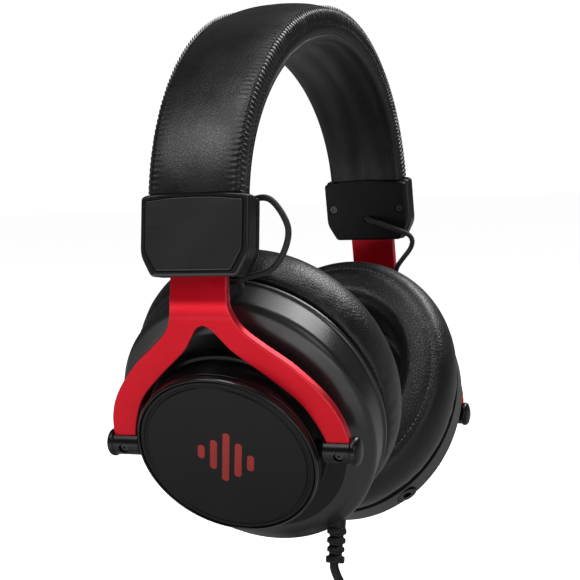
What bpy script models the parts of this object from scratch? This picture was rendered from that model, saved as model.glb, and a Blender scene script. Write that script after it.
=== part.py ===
"""Over-ear gaming headset, built as separate named pieces.

Metres, +Z up.  X runs across the head (left cup at -X), Y front to back
(front is -Y).  The origin is the underside of the headband pad at the crown.
Each side is modelled once for +X and mirrored for the left.
"""
import bpy
import bmesh
import math
from mathutils import Vector, Matrix

MM = 0.001
GAP = 0.3                     # clearance between touching pieces

# ---- driving dimensions, millimetres and degrees ----
BAND_A = 93.9                 # seam line of the arch: half width
BAND_B = 73.1                 # seam line of the arch: half height
BAND_APEX = 10.8              # seam line height over the origin at the crown
BAND_END_ANGLE = 9.0          # where the band meets the slider block
BAND_W_TOP = 17.6             # half width of the cover at the crown
BAND_W_END = 15.8             # half width of the cover at the blocks
PAD_T_TOP = 10.8              # seam line to underside at the crown
PAD_T_END = 8.8
SPRING_T = 0.8
SPRING_HW = 9.6
BLOCK_X = 91.75               # middle of the block's lower edge
BLOCK_Z = -80.2
BLOCK_LEAN = -8.3             # block flares outward going down
BLOCK_HW = 19.0
BLOCK_H = 27.0
BLOCK_T = 11.4
BLOCK_CH_W = 3.9
BLOCK_CH_H = 6.4
STEM_HW = 10.0
STEM_T = 3.0
STEM_UP = 26.0                # stem above the block's lower edge, design pose
SLIDE = {"left": 0.0, "right": 16.0}
PIVOT_X = 72.84
PIVOT_Z = -139.55
FORK_BEND_R = 9.0
CUP_TILT = {"left": 26.5, "right": 32.5}
POST_R = 4.3
POST_IN = 33.4
POST_OUT = 45.4
PIN_R = 2.0
PIN_IN = 27.6
DISC_R = 31.1
RIM_R = 32.3
DISC_N = 6.0                  # outer face of the cover disc above the pivot
HUB_BASE_R = 33.0
FRONT_N = -10.2               # housing front face
WALL_N = -13.8
BACK_N = -26.4
HOUSE_R = 46.3
HOUSE_OVAL = 1.13             # height over width of the cup
HOUSE_DROP = -2.5             # housing centre below the pivot
CUSHION_IN = 26.0
CUSHION_OUT = 48.6
CUSHION_N0 = -28.7
CUSHION_N1 = -53.0
CORD_D = 3.2
TABLE_Z = -262.0              # surface the loose coil of cord lies on
COIL_C = (-14.0, 2.0)         # wound cord: centre, inner radius, lane pitch
COIL_R0 = 10.8
COIL_STEP = 3.45
COIL_LANES = 5
COIL_K = 16                   # points to a turn
COIL_SHIFT = 0.3              # part of a turn in which a lane changes
COIL_START = math.radians(-100.0)
TIE_W = 5.0
PLUG_R = 2.9

# ---- clean slate ----
for ob in list(bpy.data.objects):
    bpy.data.objects.remove(ob, do_unlink=True)
PARTS = bpy.data.collections.new("gaming_headset")
bpy.context.scene.collection.children.link(PARTS)


# ---- materials ----
def material(name, rgb, rough, metal=0.0):
    m = bpy.data.materials.new(name)
    m.use_nodes = True
    b = m.node_tree.nodes["Principled BSDF"]
    b.inputs["Base Color"].default_value = (*rgb, 1.0)
    b.inputs["Roughness"].default_value = rough
    b.inputs["Metallic"].default_value = metal
    m.diffuse_color = (*rgb, 1.0)
    return m


PALETTE = {
    "leatherette": ((0.015, 0.015, 0.016), 0.55, 0.0),
    "red_metal": ((0.62, 0.012, 0.03), 0.35, 0.85),
    "black_plastic": ((0.02, 0.02, 0.022), 0.4, 0.0),
    "satin_plastic": ((0.035, 0.035, 0.038), 0.45, 0.0),
    "gloss_plastic": ((0.012, 0.012, 0.014), 0.18, 0.0),
    "steel": ((0.45, 0.46, 0.48), 0.3, 1.0),
    "dark_steel": ((0.08, 0.08, 0.085), 0.35, 1.0),
    "rubber": ((0.02, 0.02, 0.02), 0.7, 0.0),
    "braid": ((0.03, 0.03, 0.032), 0.8, 0.0),
    "fabric": ((0.04, 0.04, 0.045), 0.9, 0.0),
    "film": ((0.35, 0.34, 0.3), 0.3, 0.0),
    "board": ((0.02, 0.16, 0.06), 0.5, 0.0),
    "gold": ((0.75, 0.55, 0.2), 0.25, 1.0),
}


# ---- frames ----
def frame_matrix(ox, oz, lean):
    """Local x = outward normal, y = world Y, z = up along the part."""
    a = math.radians(lean)
    n = Vector((math.cos(a), 0, -math.sin(a)))
    u = Vector((math.sin(a), 0, math.cos(a)))
    m = Matrix.Identity(4)
    m.col[0][:3] = n
    m.col[1][:3] = (0, 1, 0)
    m.col[2][:3] = u
    m.col[3][:3] = (ox, 0, oz)
    return m


BLOCK_M = frame_matrix(BLOCK_X, BLOCK_Z, BLOCK_LEAN)
BLOCK_U = Vector((math.sin(math.radians(BLOCK_LEAN)), 0, math.cos(math.radians(BLOCK_LEAN))))


def slide_vec(side):
    return -BLOCK_U * SLIDE[side]


def cup_matrix(side):
    o = Vector((PIVOT_X, 0, PIVOT_Z)) + slide_vec(side)
    return frame_matrix(o.x, o.z, CUP_TILT[side])


def side_mirror(side):
    return Matrix.Scale(-1.0, 4, Vector((1, 0, 0))) if side == "left" else Matrix.Identity(4)


def world_point(side, m, p):
    """A millimetre point of frame m on one side, in world metres."""
    v = side_mirror(side) @ (m @ Vector(p))
    return v * MM


# ---- building helpers ----
def bm_from_object(ob):
    dg = bpy.context.evaluated_depsgraph_get()
    me = bpy.data.meshes.new_from_object(ob.evaluated_get(dg))
    bm = bmesh.new()
    bm.from_mesh(me)
    bpy.data.meshes.remove(me)
    return bm


def temp_object(data, name="tmp"):
    ob = bpy.data.objects.new(name, data)
    bpy.context.scene.collection.objects.link(ob)
    return ob


def drop(ob):
    data = ob.data
    bpy.data.objects.remove(ob, do_unlink=True)
    if isinstance(data, bpy.types.Mesh):
        bpy.data.meshes.remove(data)
    else:
        bpy.data.curves.remove(data)


def outward(bm, weld=0.002):
    bmesh.ops.remove_doubles(bm, verts=bm.verts, dist=weld)
    bmesh.ops.recalc_face_normals(bm, faces=bm.faces)
    if bm.calc_volume(signed=True) < 0:
        bmesh.ops.reverse_faces(bm, faces=bm.faces)
    return bm


def revolve(profile, steps, oval=1.0, closed=True, centre=0.0):
    """Screw a profile of (radius, n) round the n axis; millimetres."""
    me = bpy.data.meshes.new("tmp_profile")
    k = len(profile)
    edges = [(i, i + 1) for i in range(k - 1)]
    if closed:
        edges.append((k - 1, 0))
    me.from_pydata([(r, 0, n) for r, n in profile], edges, [])
    ob = temp_object(me)
    mod = ob.modifiers.new("screw", "SCREW")
    mod.axis = "Z"
    mod.angle = math.tau
    mod.steps = steps
    mod.render_steps = steps
    mod.use_merge_vertices = True
    mod.merge_threshold = 0.0001
    bm = bm_from_object(ob)
    drop(ob)
    bmesh.ops.transform(bm, matrix=Matrix(((0, 0, 1, 0), (1, 0, 0, 0), (0, oval, 0, centre), (0, 0, 0, 1))), verts=bm.verts)
    return outward(bm, 0.0001)


def box(lo, hi, bevel=0.0, seg=1):
    bm = bmesh.new()
    bmesh.ops.create_cube(bm, size=1.0)
    lo, hi = Vector(lo), Vector(hi)
    size, mid = hi - lo, (hi + lo) / 2
    for v in bm.verts:
        v.co = Vector([mid[i] + v.co[i] * size[i] for i in range(3)])
    if bevel:
        bmesh.ops.bevel(bm, geom=list(bm.edges), offset=bevel, segments=seg, affect="EDGES", profile=0.5)
    return outward(bm, 0.0001)


def cylinder(p0, p1, r, sides=16, r2=None):
    p0, p1 = Vector(p0), Vector(p1)
    d = p1 - p0
    bm = bmesh.new()
    bmesh.ops.create_cone(bm, cap_ends=True, cap_tris=False, segments=sides, radius1=r, radius2=r if r2 is None else r2, depth=d.length)
    rot = Vector((0, 0, 1)).rotation_difference(d.normalized()).to_matrix().to_4x4()
    bmesh.ops.transform(bm, matrix=Matrix.Translation((p0 + p1) / 2) @ rot, verts=bm.verts)
    return outward(bm, 0.0001)


def plate(outlines, t0, t1, bevel=0.0, res=0):
    """Filled 2D curve, extruded from t0 to t1; outline x,y stay in the plane."""
    cu = bpy.data.curves.new("tmp_plate", "CURVE")
    cu.dimensions = "2D"
    cu.fill_mode = "BOTH"
    cu.extrude = (t1 - t0) / 2 - bevel
    cu.bevel_depth = bevel
    cu.bevel_resolution = res
    cu.offset = -bevel
    cu.render_resolution_u = 0
    for pts in outlines:
        sp = cu.splines.new("POLY")
        sp.points.add(len(pts) - 1)
        for i, (x, y) in enumerate(pts):
            sp.points[i].co = (x, y, 0, 1)
        sp.use_cyclic_u = True
    ob = temp_object(cu)
    bm = bm_from_object(ob)
    drop(ob)
    bmesh.ops.translate(bm, vec=(0, 0, (t0 + t1) / 2), verts=bm.verts)
    return outward(bm, 0.002)


def tube(points, r, sides_res=2):
    cu = bpy.data.curves.new("tmp_tube", "CURVE")
    cu.dimensions = "3D"
    cu.bevel_depth = r
    cu.bevel_resolution = sides_res
    cu.use_fill_caps = True
    cu.render_resolution_u = 0
    sp = cu.splines.new("POLY")
    sp.points.add(len(points) - 1)
    for i, p in enumerate(points):
        sp.points[i].co = (*p, 1)
    ob = temp_object(cu)
    bm = bm_from_object(ob)
    drop(ob)
    return outward(bm, 0.002)


def smooth_path(ctrl, n):
    """Catmull-Rom points through the control points."""
    pts = [Vector(c) for c in ctrl]
    pts = [pts[0] * 2 - pts[1]] + pts + [pts[-1] * 2 - pts[-2]]
    out = []
    for i in range(1, len(pts) - 2):
        p0, p1, p2, p3 = pts[i - 1:i + 3]
        for j in range(n):
            t = j / n
            out.append(0.5 * ((2 * p1) + (p2 - p0) * t + (2 * p0 - 5 * p1 + 4 * p2 - p3) * t * t + (3 * p1 - p0 - 3 * p2 + p3) * t ** 3))
    out.append(pts[-2])
    return out


def carve(bm, cutters, op="DIFFERENCE"):
    me = bpy.data.meshes.new("tmp_body")
    bm.to_mesh(me)
    bm.free()
    ob = temp_object(me)
    extra = []
    for c in cutters:
        cm = bpy.data.meshes.new("tmp_cutter")
        c.to_mesh(cm)
        c.free()
        co = temp_object(cm, "tmp_cutter")
        extra.append(co)
        mod = ob.modifiers.new("cut", "BOOLEAN")
        mod.operation = op
        mod.solver = "EXACT"
        mod.object = co
    bpy.context.view_layer.update()
    out = bm_from_object(ob)
    for co in extra:
        drop(co)
    drop(ob)
    return outward(out, 0.0005)


def emit(name, bm, mat, side="right", m=None, origin=(0, 0, 0)):
    """Move to the world, mirror for the left side, and store as one object."""
    if m is not None:
        bmesh.ops.transform(bm, matrix=m, verts=bm.verts)
    if side == "left":
        bmesh.ops.transform(bm, matrix=side_mirror("left"), verts=bm.verts)
        bmesh.ops.reverse_faces(bm, faces=bm.faces)
    bmesh.ops.scale(bm, vec=(MM, MM, MM), verts=bm.verts)
    origin = Vector(origin)
    bmesh.ops.translate(bm, vec=-origin, verts=bm.verts)
    me = bpy.data.meshes.new(name)
    bm.to_mesh(me)
    bm.free()
    rgb, rough, metal = PALETTE[mat]
    me.materials.append(material(name + "_" + mat, rgb, rough, metal))
    ob = bpy.data.objects.new(name, me)
    ob.location = origin
    PARTS.objects.link(ob)
    return ob


# ---- headband ----
BAND_Z0 = BAND_APEX - BAND_B


def band_point(theta, off):
    """Point of the arch at angle theta (0 = right end), off outward."""
    c, s = math.cos(theta), math.sin(theta)
    t = Vector((BAND_B * c, BAND_A * s)).normalized()
    return BAND_A * c + t.x * off, BAND_Z0 + BAND_B * s + t.y * off


def ease(x):
    x = min(max(x, 0.0), 1.0)
    return x * x * (3 - 2 * x)


def band_stations(k):
    e = math.radians(BAND_END_ANGLE)
    return [e + (math.pi - 2 * e) * i / (k - 1) for i in range(k)]


def end_amount(theta):
    """0 at the crown, 1 at the blocks."""
    return ease(abs(theta / math.pi - 0.5) * 2 / 0.9)


def loft(sections):
    """Skin closed sections of equal count and cap both ends."""
    bm = bmesh.new()
    rings = [[bm.verts.new(p) for p in sec] for sec in sections]
    k = len(rings[0])
    for a, b in zip(rings, rings[1:]):
        for i in range(k):
            j = (i + 1) % k
            bm.faces.new((a[i], a[j], b[j], b[i]))
    bm.faces.new(rings[0][::-1])
    bm.faces.new(rings[-1])
    return outward(bm, 0.0001)


def cover_section(theta):
    e = end_amount(theta)
    w = BAND_W_TOP + (BAND_W_END - BAND_W_TOP) * e
    crown = 3.8 - 3.1 * e
    base = -2.1
    prof = [(w, base), (w + 0.9, -1.2), (w + 1.0, -0.2), (w + 0.3, 0.8), (w - 2.2, crown * 0.62 + 0.5), (w * 0.6, crown * 0.9 + 0.2)]
    half = prof + [(0.0, crown + 0.3)]
    full = half + [(-y, r) for y, r in reversed(prof)]
    return [(band_point(theta, r)[0], y, band_point(theta, r)[1]) for y, r in full]


def pad_section(theta):
    e = end_amount(theta)
    w = BAND_W_TOP + (BAND_W_END - BAND_W_TOP) * e
    t = PAD_T_TOP + (PAD_T_END - PAD_T_TOP) * e
    near = ease((abs(theta / math.pi - 0.5) * 2 - 0.70) / 0.08)
    g = 3.5 + 3.6 * near
    prof = [(0.0, -g), (STEM_HW + 0.6, -g), (STEM_HW + 0.9, -3.5), (w, -3.5 + 1.1), (w + 0.9, -3.2), (w + 1.0, -(t - 3.6)), (w - 0.6, -(t - 1.2)), (w - 3.4, -(t - 0.2)), (w * 0.45, -t - 0.1)]
    full = prof + [(0.0, -t)] + [(-y, r) for y, r in reversed(prof[1:])]
    return [(band_point(theta, r)[0], y, band_point(theta, r)[1]) for y, r in full]


emit("headband_cover", loft([cover_section(t) for t in band_stations(33)]), "leatherette")
emit("headband_pad", loft([pad_section(t) for t in band_stations(37)]), "leatherette")


def spring_mesh():
    """Ribbon of spring steel through the band, its ends straight in the blocks."""
    r_mid = -2.7
    line = []
    for side in ("right", "left"):
        pts = [BLOCK_M @ Vector((2.5, 0, u)) for u in (6.0, 14.0, 22.0)]
        if side == "left":
            pts = [Vector((-p.x, 0, p.z)) for p in reversed(pts)]
        if side == "right":
            line += [(p.x, p.z) for p in pts]
            line += [band_point(t, r_mid) for t in band_stations(33)]
        else:
            line += [(p.x, p.z) for p in pts]
    bm = bmesh.new()
    row = [bm.verts.new((x, -SPRING_HW, z)) for x, z in line]
    edges = [bm.edges.new((a, b)) for a, b in zip(row, row[1:])]
    ext = bmesh.ops.extrude_edge_only(bm, edges=edges)
    bmesh.ops.translate(bm, vec=(0, 2 * SPRING_HW, 0), verts=[v for v in ext["geom"] if isinstance(v, bmesh.types.BMVert)])
    me = bpy.data.meshes.new("tmp_ribbon")
    bm.to_mesh(me)
    bm.free()
    ob = temp_object(me)
    mod = ob.modifiers.new("thickness", "SOLIDIFY")
    mod.thickness = SPRING_T
    mod.offset = 0.0
    mod.use_even_offset = True
    out = bm_from_object(ob)
    drop(ob)
    return outward(out, 0.0001)


emit("headband_spring", spring_mesh(), "steel")


# ---- slider block ----
def block_outline(inset=0.0):
    w, h = BLOCK_HW - inset, BLOCK_H
    cw, ch = BLOCK_CH_W, BLOCK_CH_H
    b = inset
    pts = [(w - cw, b), (w - 1.2, b + ch * 0.62), (w, b + ch + 1.2), (w, h - 2.6 - b * 0.6), (w - 0.8, h - 0.9 - b), (w - 2.6, h - 0.25 - b), (0, h + 0.5 - b)]
    return pts + [(-y, u) for y, u in reversed(pts[:-1])]


def to_block(bm):
    """Plate built in (y, u) with its thickness along +n."""
    bmesh.ops.transform(bm, matrix=Matrix(((0, 0, 1, 0), (1, 0, 0, 0), (0, 1, 0, 0), (0, 0, 0, 1))), verts=bm.verts)
    return bm


HALF_T = BLOCK_T / 2
SCREW_Y, SCREW_U = 15.2, 14.5


def block_outer():
    body = to_block(plate([block_outline()], -1.5, HALF_T, 0.7))
    cuts = [
        box((-3, -(STEM_HW + 0.4), -3), (3.2, STEM_HW + 0.4, BLOCK_H + 3)),
        box((-3, STEM_HW - 0.5, 7.6), (2.1, STEM_HW + 2.6, 19.4)),
    ]
    inset = to_block(plate([block_outline(1.7)], HALF_T - 0.45, HALF_T + 2))
    cuts.append(inset)
    for s in (-1, 1):
        cuts.append(cylinder((-3, s * SCREW_Y, SCREW_U), (3.6, s * SCREW_Y, SCREW_U), 1.1, 10))
    return carve(body, cuts)


def block_face():
    return to_block(plate([block_outline(2.0)], HALF_T - 0.15, HALF_T + 0.55, 0.25))


def block_inner():
    body = to_block(plate([block_outline(0.5)], -HALF_T, -1.8, 0.9))
    cuts = []
    for s in (-1, 1):
        cuts.append(cylinder((-HALF_T - 1, s * SCREW_Y, SCREW_U), (-HALF_T + 1.7, s * SCREW_Y, SCREW_U), 2.0, 12))
        cuts.append(cylinder((-HALF_T - 1, s * SCREW_Y, SCREW_U), (0, s * SCREW_Y, SCREW_U), 1.1, 10))
    cuts.append(cylinder((-HALF_T - 1, 0, 10.0), (-2.6, 0, 10.0), 1.5, 12))
    return carve(body, cuts)


def screw_solid(x_head, x_tip, head_r, shank_r, y, u, head_t=1.1):
    s = 1 if x_tip > x_head else -1
    ring = [(0.0, 0.45), (head_r * 0.4, 0.45), (head_r * 0.4, 0.0), (head_r, 0.0), (head_r, head_t), (shank_r, head_t), (shank_r, abs(x_tip - x_head)), (0.0, abs(x_tip - x_head))]
    bm = revolve(ring, 10, closed=False)
    if s < 0:
        bmesh.ops.transform(bm, matrix=Matrix.Scale(-1, 4, Vector((1, 0, 0))), verts=bm.verts)
        bmesh.ops.reverse_faces(bm, faces=bm.faces)
    bmesh.ops.translate(bm, vec=(x_head, y, u), verts=bm.verts)
    return outward(bm, 0.0001)


def detent_spring():
    pts = [(STEM_HW + 2.2, 8.2), (STEM_HW + 2.2, 19.0), (STEM_HW + 1.5, 19.0), (STEM_HW + 1.5, 15.2), (STEM_HW - 0.1, 13.8), (STEM_HW + 1.5, 12.4), (STEM_HW + 1.5, 8.2)]
    return to_block(plate([pts], -0.6, 1.3))


# ---- fork ----
ARM_LEAN = math.degrees(math.atan2(0.3787, 0.9255))
CORNER_X, CORNER_Z = 93.40, -89.27
ARM_LEN = math.hypot(CORNER_X - PIVOT_X, CORNER_Z - PIVOT_Z)
ARM_ANGLE = math.atan2(CORNER_X - PIVOT_X, CORNER_Z - PIVOT_Z)
STEM_ANGLE = math.radians(BLOCK_LEAN)
BEND = ARM_ANGLE - STEM_ANGLE
BEND_T = FORK_BEND_R * math.tan(BEND / 2)
L1 = ARM_LEN - BEND_T
L2 = L1 + FORK_BEND_R * BEND
FORK_TOP = L2 + (9.1 - BEND_T) + STEM_UP
OUTER_EDGE = [(43.1, -2.8), (43.3, 4.0), (41.6, 13.0), (37.1, 22.0), (28.4, 32.4), (20.2, 39.4), (13.6, 45.8), (10.7, 52.6), (10.0, 60.0)]
INNER_EDGE = [(0.0, 47.6), (2.6, 46.2), (5.6, 42.0), (9.4, 37.2), (19.8, 28.0), (28.0, 19.6), (32.4, 11.6), (34.9, 4.0), (35.3, -2.8)]


def fork_centre(L):
    """Centre line of the sheet at length L from the pivot, and its lean."""
    if L <= L1:
        a = ARM_ANGLE
        return PIVOT_X + math.sin(a) * L, PIVOT_Z + math.cos(a) * L, a
    x, z = PIVOT_X + math.sin(ARM_ANGLE) * L1, PIVOT_Z + math.cos(ARM_ANGLE) * L1
    a = ARM_ANGLE - (min(L, L2) - L1) / FORK_BEND_R
    cx, cz = x - math.cos(ARM_ANGLE) * FORK_BEND_R, z + math.sin(ARM_ANGLE) * FORK_BEND_R
    x, z = cx + math.cos(a) * FORK_BEND_R, cz - math.sin(a) * FORK_BEND_R
    if L > L2:
        x, z = x + math.sin(a) * (L - L2), z + math.cos(a) * (L - L2)
    return x, z, a


def fork_mesh():
    outer = [(p.x, p.y) for p in smooth_path([(y, v, 0) for y, v in OUTER_EDGE], 2)]
    inner = [(p.x, p.y) for p in smooth_path([(y, v, 0) for y, v in INNER_EDGE], 2)]
    top = FORK_TOP
    # the stem edge on one side carries the detent groove
    right = outer + [(STEM_HW, L2 + 9.0), (STEM_HW - 0.6, L2 + 9.6), (STEM_HW - 0.6, top - 3.0), (STEM_HW - 0.6, top - 1.2), (STEM_HW - 1.8, top)]
    left = [(-y, v) for y, v in reversed(outer + [(STEM_HW, top - 1.2), (STEM_HW - 1.2, top)])]
    pts = right + left + [(-y, v) for y, v in inner[::-1]][:-1] + inner
    bm = plate([pts], -STEM_T / 2, STEM_T / 2, 0.45)
    for k in range(7):
        v = L1 - 0.4 + (L2 - L1 + 0.8) * k / 6
        bmesh.ops.bisect_plane(bm, geom=list(bm.verts) + list(bm.edges) + list(bm.faces), plane_co=(0, v, 0), plane_no=(0, 1, 0))
    bmesh.ops.triangulate(bm, faces=[f for f in bm.faces if len(f.verts) > 4])
    for v in bm.verts:
        y, L, t = v.co
        x, z, a = fork_centre(L)
        v.co = Vector((x + math.cos(a) * t, y, z - math.sin(a) * t))
    bm = outward(bm, 0.0001)
    holes = []
    arm = frame_matrix(PIVOT_X, PIVOT_Z, math.degrees(ARM_ANGLE))
    for s in (-1, 1):
        holes.append(cylinder(arm @ Vector((-4, s * 39.5, 0)), arm @ Vector((4, s * 39.5, 0)), 1.35, 10))
    return carve(bm, holes)


ARM_M = frame_matrix(PIVOT_X, PIVOT_Z, math.degrees(ARM_ANGLE))


def post(sgn):
    """Pivot post: drum with end flange and pin, slotted for the arm tip."""
    prof = [(0, POST_OUT + 0.9), (2.6, POST_OUT + 0.75), (4.5, POST_OUT + 0.1), (4.9, POST_OUT - 0.6), (4.9, POST_OUT - 1.7), (POST_R, POST_OUT - 2.0), (POST_R, POST_IN + 0.5), (POST_R - 0.5, POST_IN), (PIN_R, POST_IN), (PIN_R, PIN_IN + 0.4), (PIN_R - 0.4, PIN_IN), (0, PIN_IN)]
    bm = revolve(prof, 16, closed=False)
    rot = Matrix(((0, 0, 1, 0), (1, 0, 0, 0), (0, 1, 0, 0), (0, 0, 0, 1)))
    bmesh.ops.transform(bm, matrix=rot, verts=bm.verts)
    if sgn < 0:
        bmesh.ops.transform(bm, matrix=Matrix.Scale(-1, 4, Vector((0, 1, 0))), verts=bm.verts)
        bmesh.ops.reverse_faces(bm, faces=bm.faces)
    y0, y1 = sorted((sgn * 34.3, sgn * 43.9))
    cuts = [
        box((-STEM_T / 2 - GAP, y0, -3.2), (STEM_T / 2 + GAP, y1, 8)),
        cylinder((1.0, sgn * 39.5, 0), (6, sgn * 39.5, 0), 1.75, 12),
        cylinder((-3.4, sgn * 39.5, 0), (6, sgn * 39.5, 0), 1.2, 12),
    ]
    return carve(bm, cuts)


# ---- cup pieces (frame: n outward, y, v up) ----
SOCKET_DIR = Vector((0, -0.575, -0.818)).normalized()
SOCKET_AT = Vector((-18.8, 0.0, HOUSE_DROP))
BOOT_P = Vector((-15.6, -25.0, -44.4))
BOOT_D = Vector((0.69, 0.0, -0.724)).normalized()


def housing(side):
    R = HOUSE_R
    prof = [
        (R - 8.6, FRONT_N), (R - 0.9, WALL_N + 0.4), (R - 0.1, WALL_N - 0.6), (R, WALL_N - 2.4), (R, BACK_N + 1.6), (R + 0.7, BACK_N + 1.1), (R + 0.7, BACK_N),
        (R - 2.2, BACK_N), (R - 2.2, WALL_N - 1.6), (R - 10.0, FRONT_N - 2.2), (22.0, FRONT_N - 2.2), (22.0, FRONT_N - 0.9), (23.0, FRONT_N),
    ]
    bm = revolve(prof, 40, HOUSE_OVAL, centre=HOUSE_DROP)
    cuts = []
    if side == "left":
        cuts.append(cylinder(BOOT_P - BOOT_D * 9, BOOT_P + BOOT_D * 14, 3.5, 16))
    else:
        p = SOCKET_AT + SOCKET_DIR * 40
        cuts.append(cylinder(p, p + SOCKET_DIR * 20, 4.5, 20))
    return carve(bm, cuts)


def hub():
    prof = [
        (0, 3.6), (RIM_R - 0.9, 3.6), (RIM_R, 3.1), (RIM_R, -4.4), (RIM_R - 0.5, -5.0), (RIM_R - 0.5, -5.8), (HUB_BASE_R, -6.4), (HUB_BASE_R, FRONT_N + GAP),
        (RIM_R - 1.6, FRONT_N + GAP), (RIM_R - 2.2, 1.4), (0, 1.4),
    ]
    bm = revolve(prof, 40, closed=False)
    cuts = [cylinder((0, s * 26, 0), (0, s * 40, 0), PIN_R + GAP, 14) for s in (-1, 1)]
    return carve(bm, cuts)


def cover_disc():
    prof = [(0, DISC_N), (DISC_R - 2.7, DISC_N), (DISC_R - 2.3, DISC_N - 0.5), (DISC_R - 1.7, DISC_N - 0.5), (DISC_R - 1.3, DISC_N), (DISC_R - 0.4, DISC_N), (DISC_R, DISC_N - 0.4), (DISC_R, 3.9), (0, 3.9)]
    return revolve(prof, 40, closed=False)


def trim_ring():
    prof = [(DISC_R + GAP, 3.9), (DISC_R + GAP, DISC_N + 0.05), (DISC_R + 0.7, DISC_N + 0.3), (RIM_R - 0.15, DISC_N - 0.1), (RIM_R + 0.05, DISC_N - 0.7), (RIM_R + 0.05, 3.9)]
    return revolve(prof, 40)


def baffle():
    R = HOUSE_R - 0.9
    prof = [(23.5, BACK_N - GAP), (R, BACK_N - GAP), (R + 0.4, BACK_N - 0.9), (R, CUSHION_N0 + GAP), (23.5, CUSHION_N0 + GAP), (21.5, BACK_N - 1.2)]
    return revolve(prof, 40, HOUSE_OVAL, centre=HOUSE_DROP)


def driver_frame():
    prof = [(24.5, BACK_N), (24.5, BACK_N + 1.3), (19.5, BACK_N + 1.5), (12.5, BACK_N + 6.6), (10.8, BACK_N + 6.6), (10.8, BACK_N + 5.4), (18.2, BACK_N)]
    return revolve(prof, 24, centre=HOUSE_DROP)


def magnet():
    prof = [(0, BACK_N + 8.8), (9.3, BACK_N + 8.8), (10.0, BACK_N + 8.1), (10.0, BACK_N + 3.6), (0, BACK_N + 3.6)]
    return revolve(prof, 16, closed=False, centre=HOUSE_DROP)


def diaphragm():
    b = BACK_N
    prof = [(0, b + 2.4), (4.5, b + 2.1), (8.2, b + 0.9), (9.4, b + 0.5), (13.5, b + 1.3), (17.6, b + 0.3), (17.6, b - 0.1), (13.5, b + 0.9), (9.4, b + 0.1), (8.0, b + 0.5), (4.3, b + 1.7), (0, b + 2.0)]
    return revolve(prof, 16, closed=False, centre=HOUSE_DROP)


def ear_cloth():
    prof = [(0, CUSHION_N0 - 0.05), (24.9, CUSHION_N0 - 0.05), (25.2, CUSHION_N0 - 0.6), (24.7, CUSHION_N0 - 1.0), (0, CUSHION_N0 - 1.0)]
    return revolve(prof, 24, HOUSE_OVAL, closed=False, centre=HOUSE_DROP)


def cushion():
    a, b, n0, n1 = CUSHION_IN, CUSHION_OUT, CUSHION_N0, CUSHION_N1
    prof = [
        (a, n0), (b - 4.6, n0), (b - 2.4, n0 - 1.0), (b - 0.7, n0 - 4.6), (b, n0 - 10.5), (b - 0.9, n0 - 17.0), (b - 4.2, n1 + 1.8), (b - 8.8, n1),
        (a + 7.6, n1), (a + 3.0, n1 + 1.5), (a + 0.4, n1 + 5.6), (a - 0.4, n0 - 10.0),
    ]
    return revolve(prof, 40, HOUSE_OVAL, centre=HOUSE_DROP)


def mic_socket():
    p0 = SOCKET_AT + SOCKET_DIR * 41.5
    p1 = SOCKET_AT + SOCKET_DIR * 50.3
    body = cylinder(p0, p1, 4.2, 20)
    return carve(body, [cylinder(p1 - SOCKET_DIR * 7.6, p1 + SOCKET_DIR * 2, 1.85, 14)])


BOOT_LEN = 15.6


def boot():
    """Ribbed strain relief round the cord, along its own axis."""
    c = CORD_D / 2 + GAP
    prof = [(c, -5.0), (3.1, -5.0), (3.1, 3.4), (3.45, 3.8), (3.45, 5.2), (2.7, 5.6), (2.7, 6.4), (3.3, 6.8), (3.3, 8.4), (2.55, 8.8), (2.55, 9.6), (3.1, 10.0), (3.1, 11.4), (2.45, 11.8), (2.45, 12.8), (3.35, 13.2), (3.35, BOOT_LEN - 0.5), (2.9, BOOT_LEN), (c, BOOT_LEN)]
    bm = revolve(prof, 14)
    rot = Vector((1, 0, 0)).rotation_difference(BOOT_D).to_matrix().to_4x4()
    bmesh.ops.transform(bm, matrix=Matrix.Translation(BOOT_P) @ rot, verts=bm.verts)
    return bm


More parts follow.
